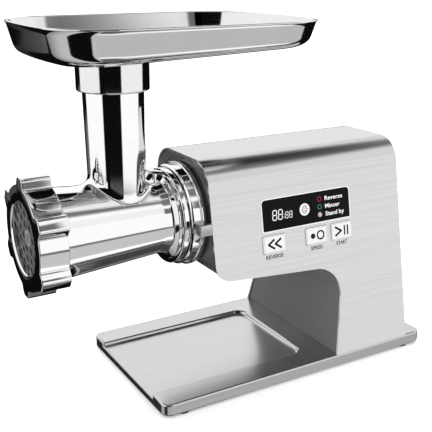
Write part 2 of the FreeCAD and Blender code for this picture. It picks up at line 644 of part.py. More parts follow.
# ---------------------------------------------------------------------------------------------------
# Gear train
# ---------------------------------------------------------------------------------------------------
def gear_outline(teeth, module, phase):
    """A spur gear's closed outline about the origin: involute flanks, pressure angle 25 degrees."""
    press = math.radians(25)
    pitch, tip, root = teeth * module / 2, (teeth / 2 + 0.9) * module, (teeth / 2 - 1.2) * module
    ground = pitch * math.cos(press)
    start = max(ground, root)
    half_tooth = (math.pi * module / 2 - size("backlash")) / 2 / pitch + math.tan(press) - press

    def flank(radius):
        roll = math.acos(min(1.0, ground / radius))
        return half_tooth - (math.tan(roll) - roll)

    def at(radius, angle):
        return V(radius * math.cos(angle), radius * math.sin(angle), 0)

    radii = [start + (tip - start) * step / 5 for step in range(6)]
    edges = []
    for tooth in range(teeth):
        middle = phase + 2 * math.pi * tooth / teeth
        after = middle + 2 * math.pi / teeth
        rising = [at(radius, middle - flank(radius)) for radius in radii]
        falling = [at(radius, middle + flank(radius)) for radius in reversed(radii)]
        for side in (rising, falling):
            curve = Part.BSplineCurve()
            curve.interpolate(side)
            edges.append(curve.toShape())
        edges.append(Part.Arc(rising[-1], at(tip, middle), falling[0]).toShape())
        foot, next_foot = middle + flank(start), after - flank(start)
        low, next_low = at(root, foot), at(root, next_foot)
        edges.append(Part.Arc(low, at(root, (foot + next_foot) / 2), next_low).toShape())
        if start - root > 1e-3:
            edges.append(Part.makeLine(falling[-1], low))
            edges.append(Part.makeLine(next_low, at(start, next_foot)))
    return Part.Wire(Part.__sortEdges__(edges))


def gear(label, teeth, module, bore, left, right, y, z, phase):
    """A toothed wheel about an axis along X. phase turns a tooth from +Y towards +Z."""
    disc = Part.Face(gear_outline(teeth, module, phase)).extrude(V(0, 0, right - left))
    disc = disc.cut(Part.makeCylinder(bore, right - left))
    basis = FreeCAD.Rotation(V(0, 1, 0), V(0, 0, 1), V(1, 0, 0), "ZXY")
    return node(coded(label, disc, FreeCAD.Placement(V(left, y, z), basis)), label)


def lay_place():
    turn = math.radians(size("lay_turn"))
    return size("gear_space") * math.cos(turn), size("axis_high") + size("gear_space") * math.sin(turn)


def gear_train():
    """Two reductions that bring the motor's line back to the drive line: 12 to 58, then 12 to 44."""
    y, z = lay_place()
    high = size("axis_high")
    toward = math.radians(size("lay_turn"))
    out, pinion = int(size("out_teeth")), int(size("out_pinion_teeth"))
    wheel, motor = int(size("lay_teeth")), int(size("motor_teeth"))
    gear("output_gear", out, size("out_module"), size("out_shaft"), size("out_gear_left"),
         size("out_gear_right"), 0, high, toward)
    gear("layshaft_pinion", pinion, size("out_module"), size("lay_shaft"), size("out_gear_left") - 0.5,
         size("out_gear_right") + 0.5, y, z, toward + math.pi + math.pi / pinion)
    gear("layshaft_wheel", wheel, size("lay_module"), size("lay_shaft"), size("lay_gear_left"),
         size("lay_gear_right"), y, z, toward + math.pi + math.pi / wheel)
    gear("motor_pinion", motor, size("lay_module"), size("motor_shaft") - 0.6, size("lay_gear_left") + 0.5,
         size("lay_gear_right") + 1, 0, high, toward)

    square = "(square_half + 0.35)"
    shaft = fuse("output_solid",
                 rod("output_head", 11.6, "flange_front + 15", "case_front - 0.4"),
                 rod("output_journal", "out_shaft", "case_front - 0.4", "web_left - 0.4"),
                 rod("output_end", 4.5, "web_left - 0.4", "web_right"))
    hole = box("drive_square", ["flange_front + 14", f"-{square}", f"axis_high - {square}"],
               ["case_front - 0.9", square, f"axis_high + {square}"])
    node(cut("output_shaft", shaft, hole), "output_shaft")
    node(rod("layshaft", "lay_shaft", "case_front + 3.2", "case_rear + 4.7", y, z), "layshaft")


def gear_case():
    """Case, middle web, rear cover, bearings and screws."""
    y, z = (round(value, 4) for value in lay_place())

    def shell(name, grow, left, right):
        return fuse(name, rod(name + "_low", f"case_low_radius - {grow}", left, right),
                    rod(name + "_high", f"case_high_radius - {grow}", left, right, y, z))

    hollow = shell("case_hollow", 2.2, "case_front + case_wall", "case_rear + 1")
    node(cut("gearbox_case", shell("case_blank", 0, "case_front", "case_rear"), hollow,
             rod("case_bearing_seat", "bearing_outer", "case_front - 1", "case_front + case_wall + 1"),
             rod("case_lay_seat", 7, "case_front + 3", "case_front + case_wall + 1", y, z)), "gearbox_case")
    node(cut("gearbox_web", shell("web_blank", 2.3, "web_left", "web_right"),
             rod("web_seat", 7, "web_left - 1", "web_right + 1"),
             rod("web_clearance", "lay_shaft + 3.4", "web_left - 1", "web_right + 1", y, z)), "gearbox_web")
    node(cut("gearbox_cover", shell("cover_blank", 0, "case_rear + 0.05", "case_rear + cover_wall"),
             rod("cover_seat", "motor_bearing", "case_rear - 1", "case_rear + cover_wall + 1"),
             rod("cover_lay_seat", 7, "case_rear - 1", "case_rear + 5", y, z)), "gearbox_cover")
    clear = 0.06

    def bush(label, outer, inner, left, right, by=0, bz=AXIS_HIGH):
        return node(cut(label, rod(label + "_outside", outer, left, right, by, bz),
                        rod(label + "_hole", f"{inner} + {clear}", f"({left}) - 1", f"({right}) + 1", by, bz)), label)

    bush("output_bearing", "bearing_outer", "out_shaft", "case_front + 0.5", "case_front + case_wall")
    bush("output_tail_bush", 7, 4.5, "web_left", "web_right")
    bush("layshaft_front_bush", 7, "lay_shaft", "case_front + 3.1", "case_front + case_wall", y, z)
    bush("layshaft_rear_bush", 7, "lay_shaft", "case_rear + 0.1", "case_rear + 5", y, z)
    bush("motor_front_bearing", "motor_bearing", "motor_shaft", "case_rear + 0.5", "case_rear + cover_wall")
    bush("motor_rear_bearing", "motor_bearing", "motor_shaft", "bell_right - 7", "bell_right - 0.5")
    heads = []
    for index in range(5):
        turn = math.radians(150 + 55 * index)
        heads.append(rod("case_screw", 2.2, "case_rear + cover_wall", "case_rear + cover_wall + 2",
                         round(26.8 * math.cos(turn), 4), f"axis_high + {26.8 * math.sin(turn):.4f}"))
    group("gearbox_screws", heads)


# ---------------------------------------------------------------------------------------------------
# Motor
# ---------------------------------------------------------------------------------------------------
def motor():
    """A series motor on the drive line: stator and windings, two bells, rotor, commutator, brushes, fan."""
    node(turned("stator_core", [("stator_left", "stator_bore"), ("stator_left", "stator_outer"),
                                ("stator_right", "stator_outer"), ("stator_right", "stator_bore")]), "stator_core")
    coils = []
    for left, right in (("stator_left - 8", "stator_left - 0.1"), ("stator_right + 0.1", "stator_right + 8")):
        coils.append(turned("coil_end", [(left, 24.5), (left, 32), (right, 34), (right, 24.5)]))
    group("field_coils", coils)
    node(turned("motor_front_bell", [
        ("bell_left", 13), ("bell_left", "bell_outer - 2"), ("bell_left + 2", "bell_outer"),
        ("stator_left + 10", "bell_outer"), ("stator_left + 10", "stator_outer + 0.05"),
        ("bell_left + bell_wall", "stator_outer + 0.05"), ("bell_left + bell_wall", 13)]), "motor_front_bell")
    node(turned("motor_rear_bell", [
        ("stator_right - 10", "stator_outer + 0.05"), ("stator_right - 10", "bell_outer"),
        ("bell_right - 2", "bell_outer"), ("bell_right", "bell_outer - 2"), ("bell_right", "motor_bearing"),
        ("bell_right - 7", "motor_bearing"), ("bell_right - 7", "motor_bearing + 2"),
        ("bell_right - bell_wall", "motor_bearing + 2"), ("bell_right - bell_wall", "stator_outer + 0.05")]),
        "motor_rear_bell")
    node(fuse("rotor_shaft", rod("shaft_main", "motor_shaft", "lay_gear_left + 12", "fan_right + 2"),
              rod("pinion_stub", "motor_shaft - 0.6", "web_right + 1", "lay_gear_left + 12")), "rotor_shaft")

    core = rod("core_blank", "rotor_radius", "stator_left + 1", "stator_right - 1")
    slots = [rod("shaft_way", "motor_shaft", "stator_left", "stator_right")]
    for index in range(12):
        turn = 2 * math.pi * index / 12
        slots.append(rod("rotor_slot", 1.8, "stator_left", "stator_right", round(20.6 * math.cos(turn), 4),
                         f"axis_high + {20.6 * math.sin(turn):.4f}"))
    node(cut("rotor_core", core, fuse("rotor_slots", *slots)), "rotor_core")
    node(turned("commutator", [("commutator_left - 6", "motor_shaft"), ("commutator_left - 6", 8),
                               ("commutator_left", 8), ("commutator_left", "commutator_radius"),
                               ("commutator_right - 3", "commutator_radius"), ("commutator_right - 3", "motor_shaft")]),
         "commutator")
    brushes, holders = [], []
    for side in (-1, 1):
        low, high = sorted((side * 11.5, side * 24.0))
        brushes.append(box("brush", ["commutator_left + 1", low, "axis_high - 3"],
                           ["commutator_left + 7", high, "axis_high + 3"]))
        low, high = sorted((side * 14.0, side * 35.5))
        holder = box("holder", ["commutator_left - 1", low, "axis_high - 5"],
                     ["commutator_left + 9", high, "axis_high + 5"])
        way = box("holder_way", ["commutator_left + 0.9", min(low, -40 * (side < 0)), "axis_high - 3.1"],
                  ["commutator_left + 7.1", high, "axis_high + 3.1"])
        holders.append(cut("brush_holder", holder, way))
    group("brushes", brushes)
    group("brush_holders", holders)

    blades = [rod("fan_hub", 9, "fan_left", "fan_right"),
              rod("fan_disc", "fan_radius", "fan_left", "fan_left + 1.6")]
    for index in range(9):
        vane = box(f"vane{index}", ["fan_left + 1.5", 8, -0.8], ["fan_right", "fan_radius", 0.8])
        turn = 2 * math.pi * index / 9
        vane.Placement = FreeCAD.Placement(V(), FreeCAD.Rotation(V(1, 0, 0), math.degrees(turn)))
        middle_y, middle_z = 8 * math.cos(turn) + 0.8 * math.sin(turn), 8 * math.sin(turn) - 0.8 * math.cos(turn)
        bind(vane, Placement__Base__x="fan_left + 1.5", Placement__Base__y=f"{middle_y:.4f}",
             Placement__Base__z=f"axis_high + {middle_z:.4f}")
        blades.append(vane)
    node(cut("cooling_fan", fuse("fan_solid", *blades), rod("fan_hole", "motor_shaft", "fan_left - 1", "fan_right + 1")),
         "cooling_fan")


# ---------------------------------------------------------------------------------------------------
# Chassis and power side
# ---------------------------------------------------------------------------------------------------
def chassis():
    """The bracket that carries motor and gearbox down the leg, the power board and the mains inlet."""
    shelf = box("shelf", [-24, -22, 107.6], [112, 22, 109.6])
    riser = box("riser", [110, -22, BASE_TOP], [112, 22, 109.6])
    foot = box("riser_foot", [112, -22, BASE_TOP], [134, 22, f"{BASE_TOP} + 2"])
    saddles = []
    for left, right, grow in ((34, 44, "bell_outer"), (102, 110, "bell_outer"), (-20, 10, "case_low_radius")):
        block = box("saddle", [left, -20, 109], [right, 20, 126])
        saddles.append(cut("saddle_cut", block, rod("saddle_way", f"{grow} + 0.05", left - 1, right + 1)))
    node(fuse("chassis_bracket", shelf, riser, foot, *saddles), "chassis_bracket")
    board = box("power_board_sheet", [118, -24, 22], [119.6, 24, 88])
    parts = [box("power_filter", [119.5, -20, 30], [132, -4, 52]), box("power_relay", [119.5, 4, 34], [136, 18, 50]),
             post("power_capacitor", 5, 60, 80, 126, 10)]
    bridge_block = box("capacitor_foot", [119.5, 7, 58], [124, 13, 62])
    node(fuse("power_board", board, bridge_block, *parts), "power_board")
    body = box("inlet_body", ["rear_face - 22", -13.6, 32.4], ["rear_face - panel_inset", 13.6, 51.6])
    lip = box("inlet_lip", ["rear_face - panel_inset", -16, 30], ["rear_face + 0.8", 16, 54])
    mouth = box("inlet_mouth", ["rear_face - 16", -11.6, 34.4], ["rear_face + 2", 11.6, 49.6])
    pins = [box("inlet_pin", ["rear_face - 17", y - 1, z - 2], ["rear_face - 3", y + 1, z + 2])
            for y, z in ((-7, 40), (0, 44), (7, 40))]
    node(fuse("mains_inlet", cut("inlet_shell", fuse("inlet_solid", body, lip), mouth), *pins), "mains_inlet")
    washers = [rod("socket_screw", 2.6, "front_face + panel_inset + panel_thick + 5",
                   "front_face + panel_inset + panel_thick + 5.6", round(41.5 * math.cos(turn), 4),
                   f"axis_high + {41.5 * math.sin(turn):.4f}")
               for turn in (math.radians(degrees) for degrees in (-25, 25, 155, 205))]
    group("socket_screws", washers)


def main():
    for make in (base, housing, control_panel, socket, head, ring_nut, auger, blade, tray, gear_train,
                 gear_case, motor, chassis):
        make()
    doc.recompute()
    failed = [thing.Name for thing in doc.Objects if {"Invalid", "Error"} & set(thing.State)]
    broken = [thing.Label for thing in nodes if thing.Shape.isNull() or not thing.Shape.isValid()]
    if failed or broken:
        raise SystemExit(f"failed features {failed}, broken sub-parts {broken}")
    for thing in nodes:
        thing.Shape.exportStep(f"parts/{thing.Label}.step")
    print(len(nodes), "sub-parts written")


main()
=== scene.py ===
import json
import logging
import math
from collections.abc import Callable
from dataclasses import dataclass, field
from enum import Enum

import bmesh
import bpy
import numpy as np
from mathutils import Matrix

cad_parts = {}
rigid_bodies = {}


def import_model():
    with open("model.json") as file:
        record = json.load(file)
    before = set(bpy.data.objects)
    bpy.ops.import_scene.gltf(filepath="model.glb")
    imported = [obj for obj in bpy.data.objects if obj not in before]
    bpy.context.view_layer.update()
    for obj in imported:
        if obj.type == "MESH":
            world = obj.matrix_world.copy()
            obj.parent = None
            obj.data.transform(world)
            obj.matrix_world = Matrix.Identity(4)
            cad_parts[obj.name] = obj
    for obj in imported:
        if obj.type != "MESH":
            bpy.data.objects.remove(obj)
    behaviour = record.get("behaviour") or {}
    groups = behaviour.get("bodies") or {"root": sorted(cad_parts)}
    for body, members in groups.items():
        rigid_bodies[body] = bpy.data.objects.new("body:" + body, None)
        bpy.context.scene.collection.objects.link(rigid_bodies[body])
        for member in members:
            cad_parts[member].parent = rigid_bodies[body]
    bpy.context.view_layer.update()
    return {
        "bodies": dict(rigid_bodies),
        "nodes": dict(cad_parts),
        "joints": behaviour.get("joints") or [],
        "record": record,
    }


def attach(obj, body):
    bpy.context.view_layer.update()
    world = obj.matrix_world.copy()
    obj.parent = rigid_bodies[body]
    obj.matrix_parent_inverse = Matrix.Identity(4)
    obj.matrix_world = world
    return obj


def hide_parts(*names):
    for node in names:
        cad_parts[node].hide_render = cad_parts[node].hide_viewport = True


log = logging.getLogger("grinder")
MM = 0.001
HIGH = 150.0  # height of the drive axis in millimetres
SUNK = 0.05  # how far print reaches into what carries it, in millimetres
PRINT_EDGE = 0.01  # rounding on the edges of print, in millimetres
CRISP = math.radians(28.0)  # a solid's edge that turns by more than this is rounded
DOUBLES = 1e-6  # points closer than this, in metres, are one point

Colour = tuple[float, float, float]


# --------------------------------------------------------------------------------------------------
# Shapes worked out on grids, in millimetres
# --------------------------------------------------------------------------------------------------
class Axis(Enum):
    """The line that a turned shape is turned about."""

    DRIVE = "drive"
    UPRIGHT = "upright"


@dataclass
class Surface:
    """A grid of points, rows by columns, whose quads make one sheet.

    Args:
        points: Array of rows x columns x 3, in millimetres.
        wrap_rows: Whether the last row joins the first.
        wrap_columns: Whether the last column joins the first.
        cap: Whether the first and last rows are closed by one face each.
    """

    points: np.ndarray
    wrap_rows: bool = False
    wrap_columns: bool = True
    cap: bool = False

    def faces(self, start: int) -> list[list[int]]:
        """Corner numbers of every face: point (i, j) has the number start + i * columns + j.

        Args:
            start: The number of the grid's first point.

        Returns:
            One list of corners for each face.
        """
        rows, columns = self.points.shape[:2]
        i = np.arange(rows if self.wrap_rows else rows - 1)[:, None]
        j = np.arange(columns if self.wrap_columns else columns - 1)[None, :]
        below, across = (i + 1) % rows, (j + 1) % columns
        corners = [i * columns + j, i * columns + across, below * columns + across, below * columns + j]
        found = (np.stack(corners, -1).reshape(-1, 4) + start).tolist()
        if self.cap:
            ring = np.arange(columns)
            found += [(ring[::-1] + start).tolist(), (ring + start + (rows - 1) * columns).tolist()]
        return found


def make_piece(name: str, surfaces: list[Surface], sharp: float = 35.0,
               closed: bool = True) -> bpy.types.Object:
    """One object at the origin from several sheets, their grids joined end to end in one mesh.

    Args:
        name: The object's name.
        surfaces: The sheets that it is made of.
        sharp: Angle in degrees above which an edge stays crisp.
        closed: Whether the sheets close, so that outwards can be worked out.

    Returns:
        The new object.
    """
    starts = np.cumsum([0] + [len(s.points.reshape(-1, 3)) for s in surfaces])
    points = np.concatenate([s.points.reshape(-1, 3) for s in surfaces]) * MM
    faces = [face for s, start in zip(surfaces, starts) for face in s.faces(int(start))]
    mesh = bpy.data.meshes.new(name)
    mesh.from_pydata(points.tolist(), [], faces)
    return finish_mesh(name, mesh, sharp, closed)


def finish_mesh(name: str, mesh: bpy.types.Mesh, sharp: float, outwards: bool) -> bpy.types.Object:
    """Merges doubles, turns faces outwards, shades smooth and links the object.

    Args:
        name: The object's name.
        mesh: The mesh in metres.
        sharp: Angle in degrees above which an edge stays crisp.
        outwards: Whether faces are turned outwards.

    Returns:
        The linked object.
    """
    work = bmesh.new()
    work.from_mesh(mesh)
    bmesh.ops.remove_doubles(work, verts=work.verts, dist=DOUBLES)
    if outwards:
        bmesh.ops.recalc_face_normals(work, faces=work.faces)
    work.to_mesh(mesh)
    work.free()
    mesh.polygons.foreach_set("use_smooth", np.ones(len(mesh.polygons), bool))
    mesh.set_sharp_from_angle(angle=math.radians(sharp))
    thing = bpy.data.objects.new(name, mesh)
    bpy.context.scene.collection.objects.link(thing)
    return thing


def round_corners(points: list[tuple[float, float]], radii: list[float], steps: int = 6) -> np.ndarray:
    """Replaces each corner of a closed line by an arc tangent to both of its runs.

    The arc's centre lies on the corner's bisector, radius / sin(half angle) away, and the arc is a
    spherical blend between its two end spokes.

    Args:
        points: The corners.
        radii: A radius for each corner; 0 keeps it.
        steps: Pieces in each arc.

    Returns:
        The points of the rounded line.
    """
    corner = np.array(points, float)
    radius = np.array(radii, float)
    before, after = np.roll(corner, 1, 0) - corner, np.roll(corner, -1, 0) - corner
    before /= np.linalg.norm(before, axis=1, keepdims=True) + 1e-12
    after /= np.linalg.norm(after, axis=1, keepdims=True) + 1e-12
    half = np.clip(np.arccos(np.clip((before * after).sum(1), -1, 1)) / 2, 0.01, math.pi / 2 - 1e-4)
    bisector = before + after
    length = np.linalg.norm(bisector, axis=1, keepdims=True)
    bisector = np.where(length > 1e-6, bisector / np.maximum(length, 1e-9), 0)
    centre = corner + bisector * (radius / np.sin(half))[:, None]
    first = corner + before * (radius / np.tan(half))[:, None] - centre
    last = corner + after * (radius / np.tan(half))[:, None] - centre
    turn = (math.pi - 2 * half)[:, None, None]
    share = np.linspace(0, 1, steps + 1)[None, :, None]
    spoke = np.sin((1 - share) * turn) * first[:, None] + np.sin(share * turn) * last[:, None]
    arcs = centre[:, None] + spoke / np.sin(turn)
    kept = [arc if r > 0 else c[None] for arc, r, c in zip(arcs, radius, corner)]
    return np.concatenate(kept)


def revolve(profile: np.ndarray, axis: Axis, x: float = 0.0, count: int = 144,
            closed: bool = True) -> Surface:
    """A profile of (along, radius) turned about an axis: each point runs round a circle of its radius.

    Args:
        profile: Points of (distance along the axis, radius).
        axis: The drive axis, along X at the drive's height, or an upright line.
        x: Where the upright line stands.
        count: Points round the circle.
        closed: Whether the profile's last point joins its first.

    Returns:
        The turned sheet.
    """
    angle = np.linspace(0, 2 * math.pi, count, endpoint=False)[None, :]
    along, radius = profile[:, :1], profile[:, 1:]
    flat, rise, ahead = radius * np.cos(angle), radius * np.sin(angle), along + 0 * angle
    points = [ahead, flat, HIGH + rise] if axis is Axis.DRIVE else [x + flat, rise, ahead]
    return Surface(np.stack(points, -1), wrap_rows=closed)


@dataclass(frozen=True)
class Place:
    """A flat drawing board in space: a point (u, v, w) lies at origin + u*along + v*up + w*out."""

    origin: tuple[float, float, float]
    along: tuple[float, float, float]
    up: tuple[float, float, float]

    def at(self, flat: np.ndarray, out: np.ndarray | float) -> np.ndarray:
        """Points on the board, raised from it.

        Args:
            flat: Array of (u, v).
            out: Height above the board.

        Returns:
            Array of (x, y, z).
        """
        along, up = np.array(self.along), np.array(self.up)
        raised = np.broadcast_to(np.asarray(out, float), flat.shape[:-1])[..., None]
        level = flat[..., :1] * along + flat[..., 1:2] * up
        return np.array(self.origin) + level + raised * np.cross(along, up)


def slab(outline: np.ndarray, low: float, high: float, edge: float, place: Place, steps: int = 4) -> Surface:
    """A plate with rounded edges: rings of the outline, each moved in along its normals.

    At the angle t of the rounding, the ring is edge * (1 - sin t) inside the outline and
    edge * (1 - cos t) from the plate's face.

    Args:
        outline: Closed outline of (u, v), running anticlockwise.
        low: Height of the under face.
        high: Height of the upper face.
        edge: Radius of the edges.
        place: The board that the outline is drawn on.
        steps: Pieces in each rounding.

    Returns:
        The sheet, closed by a face at each end.
    """
    run = np.roll(outline, -1, 0) - np.roll(outline, 1, 0)
    run /= np.linalg.norm(run, axis=1, keepdims=True) + 1e-12
    inward = np.stack([-run[:, 1], run[:, 0]], 1)
    t = np.linspace(0, math.pi / 2, steps + 1)
    depth = edge * (1 - np.sin(t))
    lift = edge * (1 - np.cos(t))
    depths = np.concatenate([depth, depth[::-1]])[:, None, None]
    heights = np.concatenate([low + lift, (high - lift)[::-1]])[:, None]
    rings = outline[None] + inward[None] * depths
    return Surface(place.at(rings, heights), cap=True)


def rectangle(left: float, right: float, low: float, high: float, radii: list[float]) -> np.ndarray:
    """A rectangle's outline, anticlockwise from its lower left corner, each corner rounded.

    Args:
        left: Least u.
        right: Greatest u.
        low: Least v.
        high: Greatest v.
        radii: Radii of the lower left, lower right, upper right and upper left corners.

    Returns:
        Points of (u, v).
    """
    return round_corners([(left, low), (right, low), (right, high), (left, high)], radii)


def disc(u: float, v: float, radius: float, count: int = 32) -> np.ndarray:
    """A circle's outline, anticlockwise."""
    angle = np.linspace(0, 2 * math.pi, count, endpoint=False)
    return np.stack([u + radius * np.cos(angle), v + radius * np.sin(angle)], 1)


def hoop(u: float, v: float, radius: float, width: float, low: float, high: float, place: Place) -> Surface:
    """A flat hoop: the four corners of its section, each run round the circle."""
    rings = [(radius - width, low), (radius, low), (radius, high), (radius - width, high)]
    return Surface(np.stack([place.at(disc(u, v, r), h) for r, h in rings]), wrap_rows=True)


def border(inner: np.ndarray, outer: np.ndarray, low: float, high: float, place: Place) -> Surface:
    """A band between two outlines of as many points: the four corners of its section, each run round it."""
    rings = [(inner, low), (inner, high), (outer, high), (outer, low)]
    return Surface(np.stack([place.at(ring, height) for ring, height in rings]), wrap_rows=True)


def printed(outline: np.ndarray, low: float, high: float, place: Place) -> Surface:
    """A printed shape: a slab with all but sharp edges."""
    return slab(outline, low, high, PRINT_EDGE, place, 1)


def stroke(points: list[tuple[float, float]], width: float, low: float, high: float,
           place: Place) -> list[Surface]:
    """Straight bars of one width along a bent line, each a fifth of its width too long at both ends.

    Args:
        points: The line's corners, (u, v).
        width: Width of the bar.
        low: Height of the under face.
        high: Height of the upper face.
        place: The board that the line is drawn on.

    Returns:
        A slab for each run.
    """
    bars = []
    for first, last in zip(np.array(points[:-1], float), np.array(points[1:], float)):
        run = (last - first) / np.linalg.norm(last - first)
        side = np.array([-run[1], run[0]]) * width / 2
        first, last = first - run * width * 0.2, last + run * width * 0.2
        outline = np.stack([first - side, last - side, last + side, first + side])
        bars.append(printed(outline, low, high, place))
    return bars


def lettering(name: str, text: str, u: float, v: float, tall: float, wide: float, out: float,
              place: Place) -> bpy.types.Object:
    """A word printed on a board: the font's outlines, filled and stretched to a width and a height.

    Args:
        name: The object's name.
        text: The word.
        u: Its left end.
        v: Its baseline.
        tall: Height of a capital.
        wide: Length of the word.
        out: Height above the board.
        place: The board.

    Returns:
        The printed word.
    """
    curve = bpy.data.curves.new(name + "_type", "FONT")
    curve.body = text
    curve.extrude = 0.02
    curve.offset = 0.018
    curve.resolution_u = 3
    source = bpy.data.objects.new(name + "_type", curve)
    mesh = bpy.data.meshes.new_from_object(source)
    bpy.data.objects.remove(source)
    flat = np.zeros(len(mesh.vertices) * 3)
    mesh.vertices.foreach_get("co", flat)
    flat = flat.reshape(-1, 3)
    left, right = flat[:, 0].min(), flat[:, 0].max()
    capital, thicker = 0.69, 1.5
    spread = np.stack([u + (flat[:, 0] - left) / (right - left) * wide, v + flat[:, 1] / capital * tall], 1)
    points = place.at(spread, out + flat[:, 2] * thicker) * MM
    mesh.vertices.foreach_set("co", points.ravel())
    return finish_mesh(name, mesh, 30.0, True)


def refined(node: bpy.types.Object, edge: float, steps: int = 3) -> bpy.types.Object:
    """A copy of a CAD node with its triangles merged and its edges rounded off.

    Args:
        node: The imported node.
        edge: Radius of the rounding in millimetres.
        steps: Pieces in each rounding.

    Returns:
        The copy, with live bevel and weighted-normal modifiers.
    """
    mesh = node.data.copy()
    mesh.materials.clear()
    work = bmesh.new()
    work.from_mesh(mesh)
    bmesh.ops.remove_doubles(work, verts=work.verts, dist=2e-6)
    bmesh.ops.dissolve_limit(work, angle_limit=math.radians(0.4), verts=work.verts, edges=work.edges)
    for each in work.edges:
        each.smooth = True
    for each in work.faces:
        each.smooth = True
    work.to_mesh(mesh)
    work.free()
    if "custom_normal" in mesh.attributes:
        mesh.attributes.remove(mesh.attributes["custom_normal"])
    mesh.set_sharp_from_angle(angle=CRISP)
    thing = bpy.data.objects.new(node.name + "_finished", mesh)
    bpy.context.scene.collection.objects.link(thing)
    bevel = thing.modifiers.new("rounding", "BEVEL")
    bevel.width, bevel.segments, bevel.limit_method = edge * MM, steps, "ANGLE"
    bevel.angle_limit, bevel.use_clamp_overlap = CRISP, True
    bevel.harden_normals = False
    weight = thing.modifiers.new("flat_faces", "WEIGHTED_NORMAL")
    weight.keep_sharp, weight.weight = True, 50
    return thing


def take_away(piece: bpy.types.Object, tool: bpy.types.Object) -> None:
    """Cuts a tool out of a piece and removes the tool.

    Args:
        piece: The piece, which keeps its name.
        tool: The closed shape to cut away.
    """
    cutter = piece.modifiers.new("cut", "BOOLEAN")
    cutter.operation, cutter.object, cutter.solver = "DIFFERENCE", tool, "EXACT"
    bpy.context.view_layer.update()
    result = bpy.data.meshes.new_from_object(piece.evaluated_get(bpy.context.evaluated_depsgraph_get()))
    piece.modifiers.clear()
    piece.data = result
    bpy.data.objects.remove(tool)
    result.set_sharp_from_angle(angle=math.radians(35))


# --------------------------------------------------------------------------------------------------
# Finishes
# --------------------------------------------------------------------------------------------------
class Shader:
    """Short ways of adding nodes to one material."""

    def __init__(self, name: str) -> None:
        """Starts an empty material with one surface shader.

        Args:
            name: The material's name.
        """
        self.material = bpy.data.materials.new(name)
        self.material.use_nodes = True
        self.tree = self.material.node_tree
        self.surface = self.tree.nodes["Principled BSDF"]
        self.place = self.add("ShaderNodeTexCoord").outputs["Object"]

    def add(self, kind: str, **settings: object) -> bpy.types.Node:
        """Adds a node and sets it up.

        Args:
            kind: The node's type.
            settings: Values for its properties, or for its inputs, with _ for a space; a socket is linked.

        Returns:
            The new node.
        """
        node = self.tree.nodes.new(kind)
        for name, value in settings.items():
            if hasattr(node, name):
                setattr(node, name, value)
                continue
            socket = node.inputs[name.replace("_", " ")]
            if isinstance(value, bpy.types.NodeSocket):
                self.tree.links.new(value, socket)
            else:
                socket.default_value = value
        return node

    def give(self, value: bpy.types.NodeSocket, target: str) -> None:
        """Links a value to one of the surface's inputs."""
        self.tree.links.new(value, self.surface.inputs[target])

    def noise(self, scale: tuple[float, float, float], detail: float = 3.0) -> bpy.types.NodeSocket:
        """Noise whose cells are 1 / scale metres along each axis.

        Args:
            scale: Cells to a metre along X, Y and Z.
            detail: Octaves of finer noise.

        Returns:
            A value of about 0.2 to 0.8, 0.5 on average.
        """
        place = self.add("ShaderNodeMapping", Vector=self.place, Scale=scale)
        return self.add("ShaderNodeTexNoise", Vector=place.outputs[0], Scale=1.0, Detail=detail).outputs[0]

    def spread(self, value: bpy.types.NodeSocket, low: float, high: float, start: float = 0.3,
               end: float = 0.7) -> bpy.types.NodeSocket:
        """Stretches a value's range evenly: start becomes low, and end becomes high.

        Args:
            value: The value.
            low: What start becomes.
            high: What end becomes.
            start: Lower end of the value's range.
            end: Upper end of the value's range.

        Returns:
            The stretched value, held between low and high.
        """
        turned = self.add("ShaderNodeMapRange", Value=value)
        for name, number in (("From Min", start), ("From Max", end), ("To Min", low), ("To Max", high)):
            turned.inputs[name].default_value = number
        return turned.outputs[0]

    def tint(self, value: bpy.types.NodeSocket, dark: Colour, light: Colour) -> bpy.types.NodeSocket:
        """A colour between two.

        Args:
            value: 0 for the dark one to 1 for the light one.
            dark: One colour.
            light: The other.

        Returns:
            The mixed colour.
        """
        mixed = self.add("ShaderNodeMix", data_type="RGBA")
        self.tree.links.new(value, mixed.inputs[0])
        mixed.inputs[6].default_value, mixed.inputs[7].default_value = (*dark, 1), (*light, 1)
        return mixed.outputs[2]

    def bump(self, value: bpy.types.NodeSocket, deep: float) -> None:
        """Raises the surface by up to deep metres where the value is high."""
        node = self.add("ShaderNodeBump", Height=value, Distance=deep, Strength=1.0)
        self.give(node.outputs[0], "Normal")


class Grain(Enum):
    """What a finish looks like close up."""

    BRUSHED = "long fine scratches along X"
    POLISHED = "a faint hand-polished ripple"
    SATIN = "bead-blasted satin"
    MOULDED = "fine moulded texture"
    TURNED = "rings left by the lathe"
    WOUND = "turns of wire"
    LAID = "copper tracks under lacquer"
    GLASS = "smooth tinted glass"


